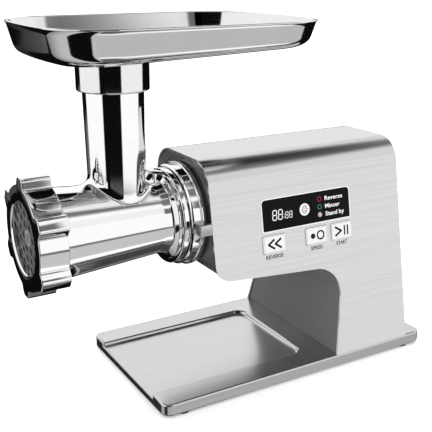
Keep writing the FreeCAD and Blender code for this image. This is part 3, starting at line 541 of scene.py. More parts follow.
@dataclass(frozen=True)
class Finish:
    """One surface finish.

    Args:
        name: Name of the material.
        grain: What it looks like close up.
        colour: Its colour, linear.
        rough: Its roughness.
        metal: 1 for metal, 0 for the rest.
        swing: How far its colour strays.
        rough_swing: How far its roughness strays.
        deep: Depth of its grain in metres.
        gloss: How strongly a surface that isn't metal mirrors.
    """

    name: str
    grain: Grain
    colour: Colour
    rough: float
    metal: float = 0.0
    swing: float = 0.08
    rough_swing: float = 0.05
    deep: float = 0.00001
    gloss: float = 0.5

    def shades(self) -> list[Colour]:
        """The darkest and lightest of its colours."""
        shares = (1 - self.swing, 1 + self.swing)
        return [tuple(channel * share for channel in self.colour) for share in shares]

    def material(self) -> bpy.types.Material:
        """The finish as a node material.

        Returns:
            The material, which is made at the first call and shared after that.
        """
        if self.name in bpy.data.materials:
            return bpy.data.materials[self.name]
        shader = Shader(self.name)
        inputs = shader.surface.inputs
        inputs["Metallic"].default_value = self.metal
        inputs["Specular IOR Level"].default_value = self.gloss
        value = self.pattern(shader)
        shader.give(shader.tint(shader.spread(value, 0, 1), *self.shades()), "Base Color")
        cloud = shader.noise((22, 22, 22), 2.0)
        low, high = max(self.rough - self.rough_swing, 0.02), self.rough + self.rough_swing
        shader.give(shader.spread(cloud if self.grain is Grain.POLISHED else value, low, high), "Roughness")
        if self.deep:
            shader.bump(value, self.deep)
        return shader.material

    def pattern(self, shader: Shader) -> bpy.types.NodeSocket:
        """The grain as a value of about 0.2 to 0.8.

        Args:
            shader: The material being made.

        Returns:
            The value that colour, roughness and height follow.
        """
        if self.grain is Grain.BRUSHED:
            mixed = shader.add("ShaderNodeMix", data_type="FLOAT")
            mixed.inputs[0].default_value = 0.45
            shader.tree.links.new(shader.noise((9, 1500, 1500), 3.0), mixed.inputs[2])
            shader.tree.links.new(shader.noise((5, 420, 420), 2.0), mixed.inputs[3])
            return mixed.outputs[0]
        if self.grain is Grain.TURNED:
            centred = shader.add("ShaderNodeMapping", Vector=shader.place, Location=(0, 0, -HIGH * MM))
            rings = shader.add("ShaderNodeTexWave", Vector=centred.outputs[0], Scale=420.0, Distortion=0.6,
                               wave_type="RINGS", rings_direction="X")
            return shader.spread(rings.outputs["Fac"], 0.3, 0.7, 0, 1)
        if self.grain is Grain.WOUND:
            turns = shader.add("ShaderNodeTexWave", Vector=shader.place, Scale=300.0, Distortion=1.2,
                               wave_type="RINGS", rings_direction="X")
            return shader.spread(turns.outputs["Fac"], 0.25, 0.75, 0, 1)
        if self.grain is Grain.LAID:
            tracks = shader.add("ShaderNodeTexVoronoi", Vector=shader.place, Scale=380.0,
                                distance="MANHATTAN")
            return tracks.outputs["Distance"]
        scales = {Grain.POLISHED: 60.0, Grain.SATIN: 2600.0, Grain.MOULDED: 1500.0, Grain.GLASS: 30.0}
        cells = scales[self.grain]
        return shader.noise((cells, cells, cells), 2.0)


BRUSHED = Finish("brushed_steel_finish", Grain.BRUSHED, (0.65, 0.65, 0.645),
                 rough=0.20, metal=1.0, swing=0.09, rough_swing=0.07, deep=0.000004)
BASE_STEEL = Finish("base_steel_finish", Grain.BRUSHED, (0.64, 0.64, 0.635),
                    rough=0.22, metal=1.0, swing=0.06, deep=0.000004)
GREY = Finish("grey_panel_finish", Grain.SATIN, (0.130, 0.130, 0.132), rough=0.42, swing=0.06, deep=0.000004)
CHROME = Finish("polished_cast_finish", Grain.POLISHED, (0.90, 0.90, 0.895),
                rough=0.05, metal=1.0, swing=0.02, rough_swing=0.02, deep=0.00002)
TRAY_STEEL = Finish("polished_steel_finish", Grain.POLISHED, (0.78, 0.78, 0.775),
                    rough=0.07, metal=1.0, swing=0.02, rough_swing=0.02)
TOOL = Finish("tool_steel_finish", Grain.TURNED, (0.40, 0.40, 0.41), rough=0.46, metal=0.45)
PANEL_GREY = Finish("front_panel_finish", Grain.SATIN, (0.19, 0.19, 0.192),
                    rough=0.36, metal=0.85, swing=0.06, deep=0.000004)
PLATE = Finish("grinding_plate_finish", Grain.TURNED, (0.22, 0.22, 0.225), rough=0.42, metal=0.75)
SATIN_METAL = Finish("satin_metal_finish", Grain.SATIN, (0.62, 0.62, 0.62),
                     rough=0.26, metal=1.0, swing=0.04, deep=0.000004)
CAST = Finish("cast_alloy_finish", Grain.SATIN, (0.56, 0.56, 0.57),
              rough=0.48, metal=1.0, rough_swing=0.06, deep=0.00002)
PLASTIC = Finish("dark_plastic_finish", Grain.MOULDED, (0.045, 0.045, 0.047),
                 rough=0.46, swing=0.12, rough_swing=0.06)
RUBBER = Finish("rubber_finish", Grain.MOULDED, (0.022, 0.022, 0.022),
                rough=0.72, swing=0.15, rough_swing=0.08, deep=0.00002)
KEYS = Finish("key_finish", Grain.MOULDED, (0.70, 0.715, 0.715), rough=0.35, swing=0.03, deep=0.000003)
GLASS = Finish("display_glass_finish", Grain.GLASS, (0.004, 0.004, 0.004),
               rough=0.06, swing=0.10, rough_swing=0.02, deep=0.0, gloss=0.06)
INK = Finish("black_ink_finish", Grain.MOULDED, (0.012, 0.012, 0.012),
             rough=0.50, swing=0.10, deep=0.0, gloss=0.08)
WHITE = Finish("white_ink_finish", Grain.MOULDED, (0.82, 0.82, 0.82),
               rough=0.45, swing=0.03, deep=0.0, gloss=0.08)
RED = Finish("red_lamp_finish", Grain.MOULDED, (0.32, 0.02, 0.03), rough=0.30, deep=0.0, gloss=0.08)
GREEN = Finish("green_lamp_finish", Grain.MOULDED, (0.02, 0.22, 0.12), rough=0.30, deep=0.0, gloss=0.08)
BOARD = Finish("circuit_board_finish", Grain.LAID, (0.02, 0.12, 0.06),
               rough=0.38, swing=0.45, rough_swing=0.10, deep=0.00002)
BRASS = Finish("brass_finish", Grain.TURNED, (0.72, 0.52, 0.24), rough=0.30, metal=1.0)
COPPER = Finish("winding_finish", Grain.WOUND, (0.62, 0.26, 0.12),
                rough=0.36, metal=1.0, swing=0.25, rough_swing=0.08, deep=0.00008)
CARBON = Finish("carbon_finish", Grain.SATIN, (0.03, 0.03, 0.032), rough=0.60, swing=0.15, rough_swing=0.08)

SLOTS: dict[str, Finish] = {
    "brushed_steel": BRUSHED, "grey_steel": GREY, "dark_plastic": PLASTIC, "black_glass": GLASS,
    "board": BOARD, "polished_cast": CHROME, "polished_steel": TRAY_STEEL, "tool_steel": TOOL,
    "cast_alloy": CAST, "brass_part": BRASS, "winding": COPPER, "carbon": CARBON, "button_grey": KEYS,
    "rubber_foot": RUBBER,
}
NODE_FINISHES: dict[str, Finish] = {"plate_bush": TOOL}


def dress(piece: bpy.types.Object, finish: Finish, body: str) -> bpy.types.Object:
    """Gives a piece its finish and its body, and reports it.

    Args:
        piece: The piece.
        finish: Its finish.
        body: The body that it rides on.

    Returns:
        The same piece.
    """
    piece.data.materials.clear()
    piece.data.materials.append(finish.material())
    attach(piece, body)
    log.info("%s: %s on %s", piece.name, finish.name, body)
    return piece


# --------------------------------------------------------------------------------------------------
# Sub-assemblies
# --------------------------------------------------------------------------------------------------
@dataclass
class Housing:
    """The wrap, its panels, the base and what is under it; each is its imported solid, refined."""

    nodes: dict[str, bpy.types.Object]
    edges: dict[str, tuple[float, Finish, str]] = field(default_factory=lambda: {
        "base_plate": (1.6, BASE_STEEL, "brushed_steel"),
        "housing_wrap": (0.8, BRUSHED, "brushed_steel"),
        "front_panel": (0.5, PANEL_GREY, "grey_steel"),
        "arch_lining": (0.3, GREY, "grey_steel"),
        "rear_cover": (0.8, PLASTIC, "dark_plastic"),
        "mains_inlet": (0.4, PLASTIC, "dark_plastic"),
        "bottom_cover": (0.5, PLASTIC, "dark_plastic"),
        "foot_front_near": (0.6, RUBBER, "rubber_foot"), "foot_front_far": (0.6, RUBBER, "rubber_foot"),
        "foot_rear_near": (0.6, RUBBER, "rubber_foot"), "foot_rear_far": (0.6, RUBBER, "rubber_foot"),
    })

    def build(self) -> None:
        """Refines and dresses each of its solids."""
        for name, (edge, finish, slot) in self.edges.items():
            piece = dress(refined(self.nodes[name], edge), finish, "root")
            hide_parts(name)


SIDE_LEAN = math.atan(0.1786)  # the housing's side leans in as it rises
PANEL = Place((0.0, -78.0, 13.0), (1.0, 0.0, 0.0), (0.0, math.sin(SIDE_LEAN), math.cos(SIDE_LEAN)))


@dataclass
class Display:
    """The black display window with its figures, mode icon, lamps and words."""

    left: float = 9.3
    right: float = 103.9
    low: float = 127.6
    high: float = 155.0
    corners: tuple[float, ...] = (0.8, 0.8, 3.4, 3.4)
    sunk: float = -2.0
    proud: float = 0.4
    frame_wide: float = 0.9
    frame_corners: tuple[float, ...] = (1.4, 1.4, 4.2, 4.2)
    frame_low: float = -0.4
    frame_high: float = 0.16
    print_out: float = 0.42
    print_thick: float = 0.03

    def build(self) -> None:
        """Makes the glass, its pale border and the print on it."""
        inner = self.outline(0.0, self.corners)
        piece = make_piece("display_glass", [slab(inner, self.sunk, self.proud, 0.25, PANEL)])
        dress(piece, GLASS, "root")
        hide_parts("display_window")
        outer = self.outline(self.frame_wide, self.frame_corners)
        frame = border(inner, outer, self.frame_low, self.frame_high, PANEL)
        dress(make_piece("display_border", [frame]), WHITE, "root")
        self.figures()
        self.icon()
        self.lamps()

    def outline(self, grow: float, corners: tuple[float, ...]) -> np.ndarray:
        """The window's outline, moved out by a distance on every side."""
        return rectangle(self.left - grow, self.right + grow, self.low - grow, self.high + grow,
                         list(corners))

    def layer(self) -> tuple[float, float]:
        """The under and upper height of what is printed on the glass."""
        return self.print_out - SUNK, self.print_out + self.print_thick

    def digit(self, u: float, v: float, wide: float, tall: float, bar: float) -> list[Surface]:
        """All seven bars of a figure eight.

        Args:
            u: Its left side.
            v: Its foot.
            wide: Its width.
            tall: Its height.
            bar: Width of a bar.

        Returns:
            A slab for each bar.
        """
        gap = bar * 0.62
        half = tall / 2
        lean = 0.06 * tall
        low, high = self.layer()
        ends = [((gap, y), (wide - gap, y)) for y in (0, half, tall)]
        ends += [((x, y + gap), (x, y + half - gap)) for x in (0, wide) for y in (0, half)]
        bars = []
        for first, last in ends:
            line = [(u + p[0] + lean * p[1] / tall, v + p[1]) for p in (first, last)]
            bars += stroke(line, bar, low, high, PANEL)
        return bars

    def figures(self) -> None:
        """The clock's two large figures, its colon and its two small figures."""
        foot = self.low + 8.9
        bars = []
        for shift, wide, tall, bar in ((10.2, 4.0, 8.4, 0.85), (16.2, 4.0, 8.4, 0.85),
                                       (23.6, 2.7, 5.6, 0.55), (27.9, 2.7, 5.6, 0.55)):
            bars += self.digit(self.left + shift, foot, wide, tall, bar)
        for rise in (1.2, 3.8):
            bars.append(printed(disc(self.left + 22.3, foot + rise, 0.4, 12), *self.layer(), PANEL))
        dress(make_piece("display_figures", bars), WHITE, "root")

    def icon(self) -> None:
        """The round mode icon: a pale disc, and on it a dark hoop, a ring and six short rays."""
        low, high = self.layer()
        top = high + self.print_thick
        u, v = self.left + 44.4, self.low + 13.6
        face = make_piece("mode_icon", [printed(disc(u, v, 5.4, 48), low, high, PANEL)])
        dress(face, WHITE, "root")
        mark = [hoop(u, v, 2.6, 0.55, high, top, PANEL), hoop(u, v, 1.2, 0.4, high, top, PANEL)]
        for side in (-1, 1):
            mark += stroke([(u + side * 2.4, v), (u + side * 4.4, v)], 0.55, high, top, PANEL)
            mark += stroke([(u + side * 3.0, v - 1.9), (u, v - 4.0)], 0.45, high, top, PANEL)
            mark += stroke([(u + side * 3.0, v + 1.9), (u, v + 4.0)], 0.45, high, top, PANEL)
        dress(make_piece("mode_icon_mark", mark), INK, "root")

    def lamps(self) -> None:
        """Two lit hoops and a ringed dot, one under the other, each with its word beside it."""
        low, high = self.layer()
        rows = (("Reverse", 18.7, 20.0, RED), ("Mincer", 11.6, 16.5, GREEN), ("Stand by", 4.6, 21.0, WHITE))
        for number, (word, rise, wide, finish) in enumerate(rows, 1):
            u, v = self.left + 60.9, self.low + rise
            lamp = [hoop(u, v + 1.9, 2.3, 0.7, low, high, PANEL)]
            if finish is WHITE:
                lamp = [printed(disc(u, v + 1.9, 1.0), low, high, PANEL),
                        hoop(u, v + 1.9, 2.1, 0.35, low, high, PANEL)]
            dress(make_piece(f"lamp_{number}", lamp), finish, "root")
            sign = lettering(f"lamp_word_{number}", word, self.left + 67.0, v, 3.7, wide,
                             self.print_out, PANEL)
            dress(sign, WHITE, "root")


@dataclass
class Key:
    """A push button: a softly crowned cap with its sign, and its word printed on the housing below."""

    name: str
    body: str
    middle: float
    word: str
    word_wide: float
    sign: Callable[[float, float, float], list[Surface]]
    wide: float = 23.0
    tall: float = 15.5
    up: float = 116.1
    proud: float = 1.4
    sunk: float = -2.6
    crown: float = 0.6
    word_drop: float = 5.0
    word_tall: float = 3.2

    def build(self) -> None:
        """Makes the cap, its sign and its word."""
        solid = slab(self.outline(0.0, 1.6), self.sunk, self.proud, self.crown, PANEL)
        cap = make_piece(f"{self.name}_cap", [solid])
        dress(cap, KEYS, self.body)
        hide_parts(self.name)
        line = border(self.outline(0.75, 1.1), self.outline(1.0, 0.9), self.proud - 0.1,
                      self.proud + 0.03, PANEL)
        dress(make_piece(f"{self.name}_line", [line]), CAST, self.body)
        sign = self.sign(self.middle, self.up, self.proud)
        dress(make_piece(f"{self.name}_sign", sign), INK, self.body)
        left, foot = self.middle - self.word_wide / 2, self.up - self.tall / 2 - self.word_drop
        word = lettering(f"{self.name}_word", self.word, left, foot, self.word_tall, self.word_wide,
                         0.02, PANEL)
        dress(word, INK, "root")

    def outline(self, inset: float, radius: float) -> np.ndarray:
        """The cap's outline, moved in by a distance on every side."""
        u, v, half_wide, half_tall = self.middle, self.up, self.wide / 2 - inset, self.tall / 2 - inset
        return rectangle(u - half_wide, u + half_wide, v - half_tall, v + half_tall, [radius] * 4)


SIGN_THICK = 0.04  # how far a key's sign stands above its cap, in millimetres


def arrowhead(tail: float, tip: float, v: float, out: float) -> list[Surface]:
    """Two bars that meet at a tip, (tip, v), from ends 4 mm above and below it at u = tail."""
    return stroke([(tail, v + 4.0), (tip, v), (tail, v - 4.0)], 1.9, out - SUNK, out + SIGN_THICK, PANEL)


def reverse_sign(u: float, v: float, out: float) -> list[Surface]:
    """Two arrowheads that point left."""
    return arrowhead(u - 0.4, u - 6.4, v, out) + arrowhead(u + 6.6, u + 0.6, v, out)


def speed_sign(u: float, v: float, out: float) -> list[Surface]:
    """A dot and a hoop."""
    return [printed(disc(u - 4.4, v, 2.5), out - SUNK, out + SIGN_THICK, PANEL),
            hoop(u + 4.0, v, 4.4, 1.5, out - SUNK, out + SIGN_THICK, PANEL)]


def start_sign(u: float, v: float, out: float) -> list[Surface]:
    """An arrowhead that points right, and two bars."""
    bars = arrowhead(u - 7.6, u - 0.9, v, out)
    for x in (u + 2.9, u + 6.4):
        bars += stroke([(x, v - 4.2), (x, v + 4.2)], 1.6, out - SUNK, out + SIGN_THICK, PANEL)
    return bars


@dataclass
class Socket:
    """The head's socket, the lock ring with its tab, and the line round them on the front panel."""

    outer: float = 39.4
    bore: float = 34.5
    front: float = -54.2
    lock_radius: float = 44.2
    lock_front: float = -53.6
    lock_rear: float = -41.2
    tab_reach: float = 56.5
    tab_half: float = 5.0
    seat: float = -37.15
    bead_ring: float = 50.4
    bead_x: float = -39.25
    bead_half: tuple[float, float] = (0.45, 0.55)

    def build(self) -> None:
        """Makes the sleeve, the lock ring, its tab and the bead."""
        front, outer, seat, bore = self.front, self.outer, self.seat, self.bore
        tube = round_corners([(front, bore), (front, outer), (seat, outer), (seat, bore)],
                             [0.5, 0.8, 0.3, 0.3], 4)
        dress(make_piece("socket_sleeve", [revolve(tube, Axis.DRIVE)]), CHROME, "root")
        hole, outer, f, r = self.outer + 0.1, self.lock_radius, self.lock_front, self.lock_rear
        profile = round_corners([
            (f, hole), (f, outer - 1.5), (f + 1.5, outer), (r - 4, outer), (r - 4, outer + 1.6),
            (r, outer + 1.6), (r, hole)], [0.3, 0.7, 0.7, 0.5, 0.8, 0.8, 0.2], 4)
        piece = make_piece("lock_ring_body", [revolve(profile, Axis.DRIVE)])
        dress(piece, CHROME, "lock")
        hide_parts("lock_ring")
        board = Place((0.0, 0.0, HIGH), (0.0, 1.0, 0.0), (0.0, 0.0, 1.0))
        outline = rectangle(-self.tab_reach, -self.outer - 2.0, -self.tab_half, self.tab_half,
                            [1.2, 0.4, 0.4, 1.2])
        tab = make_piece("lock_ring_tab", [slab(outline, f + 0.4, r, 0.7, board)])
        dress(tab, SATIN_METAL, "lock")
        dress(self.bead(), PANEL_GREY, "root")

    def bead(self) -> bpy.types.Object:
        """A low round bead on the panel: a small ellipse carried along an arc about the drive axis.

        Returns:
            The bead.
        """
        turn = np.radians(np.linspace(-32.0, 212.0, 97))[:, None]
        round_it = np.linspace(0, 2 * math.pi, 12, endpoint=False)[None, :]
        radius = self.bead_ring + self.bead_half[1] * np.cos(round_it)
        x = self.bead_x + self.bead_half[0] * np.sin(round_it) + 0 * turn
        points = np.stack([x, radius * np.cos(turn), HIGH + radius * np.sin(turn)], -1)
        return make_piece("panel_bead", [Surface(points, cap=True)])


@dataclass
class Head:
    """The casting: a tapered barrel with its flange, the feed throat that flows into it, and the rear web."""

    barrel_front: float = -176.5
    fat: float = 38.2
    slim: float = 31.6
    fat_end: float = -158.0
    waist: float = -72.0
    flange_front: float = -60.0
    flange: float = 42.0
    throat_x: float = -101.3
    throat_top: float = 273.0
    narrow: float = 23.5
    wide: float = 24.9
    bore: float = 21.0
    lip: float = 0.8
    web_half: float = 2.2

    def barrel_radius(self, x: np.ndarray) -> np.ndarray:
        """The barrel's outer radius: a straight taper from its thread to its waist."""
        share = np.clip((x - self.fat_end) / (self.waist - self.fat_end), 0, 1)
        return self.fat + (self.slim - self.fat) * share

    def barrel(self) -> bpy.types.Object:
        """The barrel, turned, with the throat's way cut through its roof.

        Returns:
            The barrel with its flange, spigot and front seat.
        """
        front, slim = self.barrel_front, self.slim
        rear, spigot, spigot_radius, spigot_bore = -54.8, -36.8, 34.4, 31.0
        inside, seat, boss, shaft = 28.0, 35.3, 15.6, 12.5
        corners = [
            # over the thread and down the taper: (x, radius), rounding
            ((front, seat), 0.3), ((front, 38.9), 0.4), ((-161.0, 38.9), 0.6),
            ((self.fat_end, self.fat), 6.0), ((self.waist, slim), 14.0), ((-64.6, slim + 0.9), 2.6),
            ((-62.4, 38.0), 1.1),
            # round the flange and the spigot
            ((self.flange_front, 38.0), 0.3), ((self.flange_front, self.flange), 1.2),
            ((rear, self.flange), 0.9), ((rear, spigot_radius), 0.3), ((spigot, spigot_radius), 0.5),
            ((spigot, spigot_bore), 0.3),
            # round the boss that carries the screw's journal
            ((-59.0, spigot_bore), 0.3), ((-59.0, boss), 0.3), ((spigot, boss), 0.3), ((spigot, shaft), 0.3),
            # along the inside to the seat of the grinding plate
            ((-62.0, shaft), 0.3), ((-62.0, inside), 1.0), ((-171.5, inside), 0.3), ((-171.5, seat), 0.3)]
        profile = round_corners([point for point, _ in corners], [radius for _, radius in corners])
        piece = make_piece("barrel_and_flange", [revolve(profile, Axis.DRIVE, count=192)])
        reach, top = self.bore + 1.5, 190.0
        tool = revolve(np.array([(HIGH, 0.0), (HIGH, reach), (top, reach), (top, 0.0)]),
                       Axis.UPRIGHT, self.throat_x, 64, False)
        take_away(piece, make_piece("throat_tool", [tool]))
        return piece

    def throat(self) -> Surface:
        """The throat as one sheet: from its foot on the barrel, up its outside, over its top, down its bore.

        Round the throat, at angle a, the foot lies on the barrel at a plan radius of narrow + flare(a).
        A Bezier curve joins it to the wall: it leaves along the barrel's surface and arrives upright.

        Returns:
            The open sheet, whose two ends lie inside the barrel's wall.
        """
        angle = np.linspace(0, 2 * math.pi, 144, endpoint=False)
        lengthwise = np.abs(np.cos(angle))
        flare = 3.2 + 12.5 * lengthwise**3
        plan = self.narrow + flare
        foot, near, root = (self.on_barrel(reach, angle) for reach in (plan, plan - 0.5, self.narrow))
        slope = (near - foot) / np.linalg.norm(near - foot, axis=1, keepdims=True)
        wall_z = root[:, 2] + 3.0 + 8.0 * lengthwise**2
        wall = self.ring(self.wall_radius(wall_z), wall_z, angle)
        reach = np.linalg.norm(wall - foot, axis=1, keepdims=True) * 0.5
        t = np.linspace(0, 1, 13)[:, None, None]
        up = np.array([0.0, 0.0, 1.0])
        curve = ((1 - t)**3 * foot + 3 * (1 - t)**2 * t * (foot + slope * reach)
                 + 3 * (1 - t) * t**2 * (wall - up * reach) + t**3 * wall)
        sunk = foot - up + slope * 0.5
        top, bore, lip = self.throat_top, self.bore, self.lip
        share = np.linspace(0, 1, 24)[1:, None]
        rise = wall_z[None] + share * (top - lip - wall_z[None])
        side = self.ring(self.wall_radius(rise), rise, angle)
        turn = np.linspace(0, math.pi / 2, 5)[1:, None] + 0 * angle
        over = self.ring(self.wide - lip + lip * np.cos(turn), top - lip + lip * np.sin(turn), angle)
        inner = self.ring(np.array([[bore + 0.5], [bore], [bore], [bore + 1.5]]) + 0 * angle,
                          np.array([[top], [top - 0.5], [181.0], [179.0]]) + 0 * angle, angle)
        return Surface(np.concatenate([sunk[None], curve, side, over, inner]))

    def on_barrel(self, reach: np.ndarray | float, angle: np.ndarray) -> np.ndarray:
        """Points of the barrel's surface over a curve of the plan, at z = axis + sqrt(radius^2 - y^2).

        Args:
            reach: Distance from the throat's axis in plan.
            angle: Bearing from the throat's axis.

        Returns:
            Array of (x, y, z).
        """
        x, y = self.throat_x + reach * np.cos(angle), reach * np.sin(angle)
        z = HIGH + np.sqrt(np.maximum(self.barrel_radius(x)**2 - y**2, 1.0))
        return np.stack([x, y, z], -1)

    def wall_radius(self, z: np.ndarray) -> np.ndarray:
        """The throat's outer radius: it widens slowly from its root to the collar."""
        return self.narrow + (self.wide - self.narrow) * np.clip((z - 172.0) / (259.6 - 172.0), 0, 1)

    def ring(self, radius: np.ndarray, z: np.ndarray, angle: np.ndarray) -> np.ndarray:
        """Circles about the throat's axis."""
        return np.stack([self.throat_x + radius * np.cos(angle), radius * np.sin(angle), z], -1)

    def web(self) -> list[Surface]:
        """The web behind the throat and the short one above the flange, drawn looking along Y with u = -x.

        Returns:
            A slab for the tall web, the bridge and the short web.
        """
        board = Place((0.0, 0.0, 0.0), (-1.0, 0.0, 0.0), (0.0, 0.0, 1.0))
        half = self.web_half
        main = [(80.0, 176.0), (84.0, 246.0), (76.0, 242.0), (74.2, 214.0), (75.0, 196.5), (75.2, 176.0)]
        bridge = [(60.2, 190.2), (60.2, 188.0), (67.6, 188.6), (74.6, 190.6), (79.0, 192.0), (79.0, 199.0),
                  (74.6, 196.4), (67.5, 192.6)]
        short = [(60.2, 178.0), (68.0, 178.0), (68.0, 190.0), (60.2, 189.0)]
        webs = []
        for corners, radii, thick, edge in (
                (main, [0.5, 1.0, 5.0, 30.0, 8.0, 0.5], half, 1.3),
                (bridge, [0.6, 0.4, 3.0, 3.0, 0.5, 0.5, 6.0, 4.0], half + 0.9, 1.2),
                (short, [0.4, 0.6, 1.0, 0.4], half, 0.8)):
            outline = round_corners(corners, radii)
            clockwise = self.signed_area(outline) < 0
            webs.append(slab(outline[::-1] if clockwise else outline, -thick, thick, edge, board))
        return webs

    def signed_area(self, outline: np.ndarray) -> float:
        """Area of a closed outline, positive when it runs anticlockwise."""
        after = np.roll(outline, -1, 0)
        return float((outline[:, 0] * after[:, 1] - after[:, 0] * outline[:, 1]).sum() / 2)

    def build(self, nodes: dict[str, bpy.types.Object]) -> None:
        """Makes the casting and refines the grinding plate.

        Args:
            nodes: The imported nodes.
        """
        barrel = dress(self.barrel(), CHROME, "head")
        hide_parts("head_casting")
        throat = make_piece("throat_tube", [self.throat()], closed=False)
        dress(throat, CHROME, "head")
        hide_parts("feed_throat")
        dress(make_piece("throat_web", self.web()), CHROME, "head")
        plate = dress(refined(nodes["grinding_plate"], 0.35, steps=2), PLATE, "head")
        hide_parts("grinding_plate")


@dataclass
class RingNut:
    """The ring nut, whose outside swells into six lobes."""

    front: float = -184.0
    long: float = 24.0
    radius: float = 43.6
    lobe: float = 51.0
    mouth: float = 30.6
    thread: float = 39.25
    crest: float = 4.6
    foot: float = 13.2
    phase: float = 3.0
    edge: float = 0.9

    def reach(self, angle: np.ndarray) -> np.ndarray:
        """The outer radius: a flat crest, then a smooth fall, (1 - s)^2 (1 + 2 s), to the plain ring."""
        off = np.abs((np.degrees(angle) - 90.0 - self.phase + 30.0) % 60.0 - 30.0)
        s = np.clip((off - self.crest) / (self.foot - self.crest), 0, 1)
        return self.radius + (self.lobe - self.radius) * (1 - s)**2 * (1 + 2 * s)

    def build(self) -> None:
        """Makes the ring: rows run from the mouth over the front face and along the outside to the thread."""
        angle = np.linspace(0, 2 * math.pi, 480, endpoint=False)[None, :]
        outer = self.reach(angle)
        t = np.linspace(0, math.pi / 2, 6)[:, None]
        rear = self.front + self.long
        mouth_x = self.front + np.array([[4.0], [1.2], [0.2], [0.0]]) + 0 * outer
        mouth_r = self.mouth + np.array([[0.0], [0.0], [1.0], [1.6]]) + 0 * outer
        lip_x = self.front + self.edge * (1 - np.sin(t)) + 0 * outer
        lip_r = outer - self.edge * (1 - np.cos(t))
        back_x = rear - self.edge * (1 - np.sin(t)) + 0 * outer
        thread_x = np.array([[rear], [self.front + 4.0]]) + 0 * outer
        x = np.concatenate([mouth_x, lip_x[::-1], back_x, thread_x])
        radius = np.concatenate([mouth_r, lip_r[::-1], lip_r, self.thread + 0 * thread_x])
        points = np.stack([x, radius * np.cos(angle), HIGH + radius * np.sin(angle)], -1)
        piece = make_piece("ring_nut_lobed", [Surface(points, wrap_rows=True)])
        dress(piece, CHROME, "ring")
        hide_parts("ring_nut")


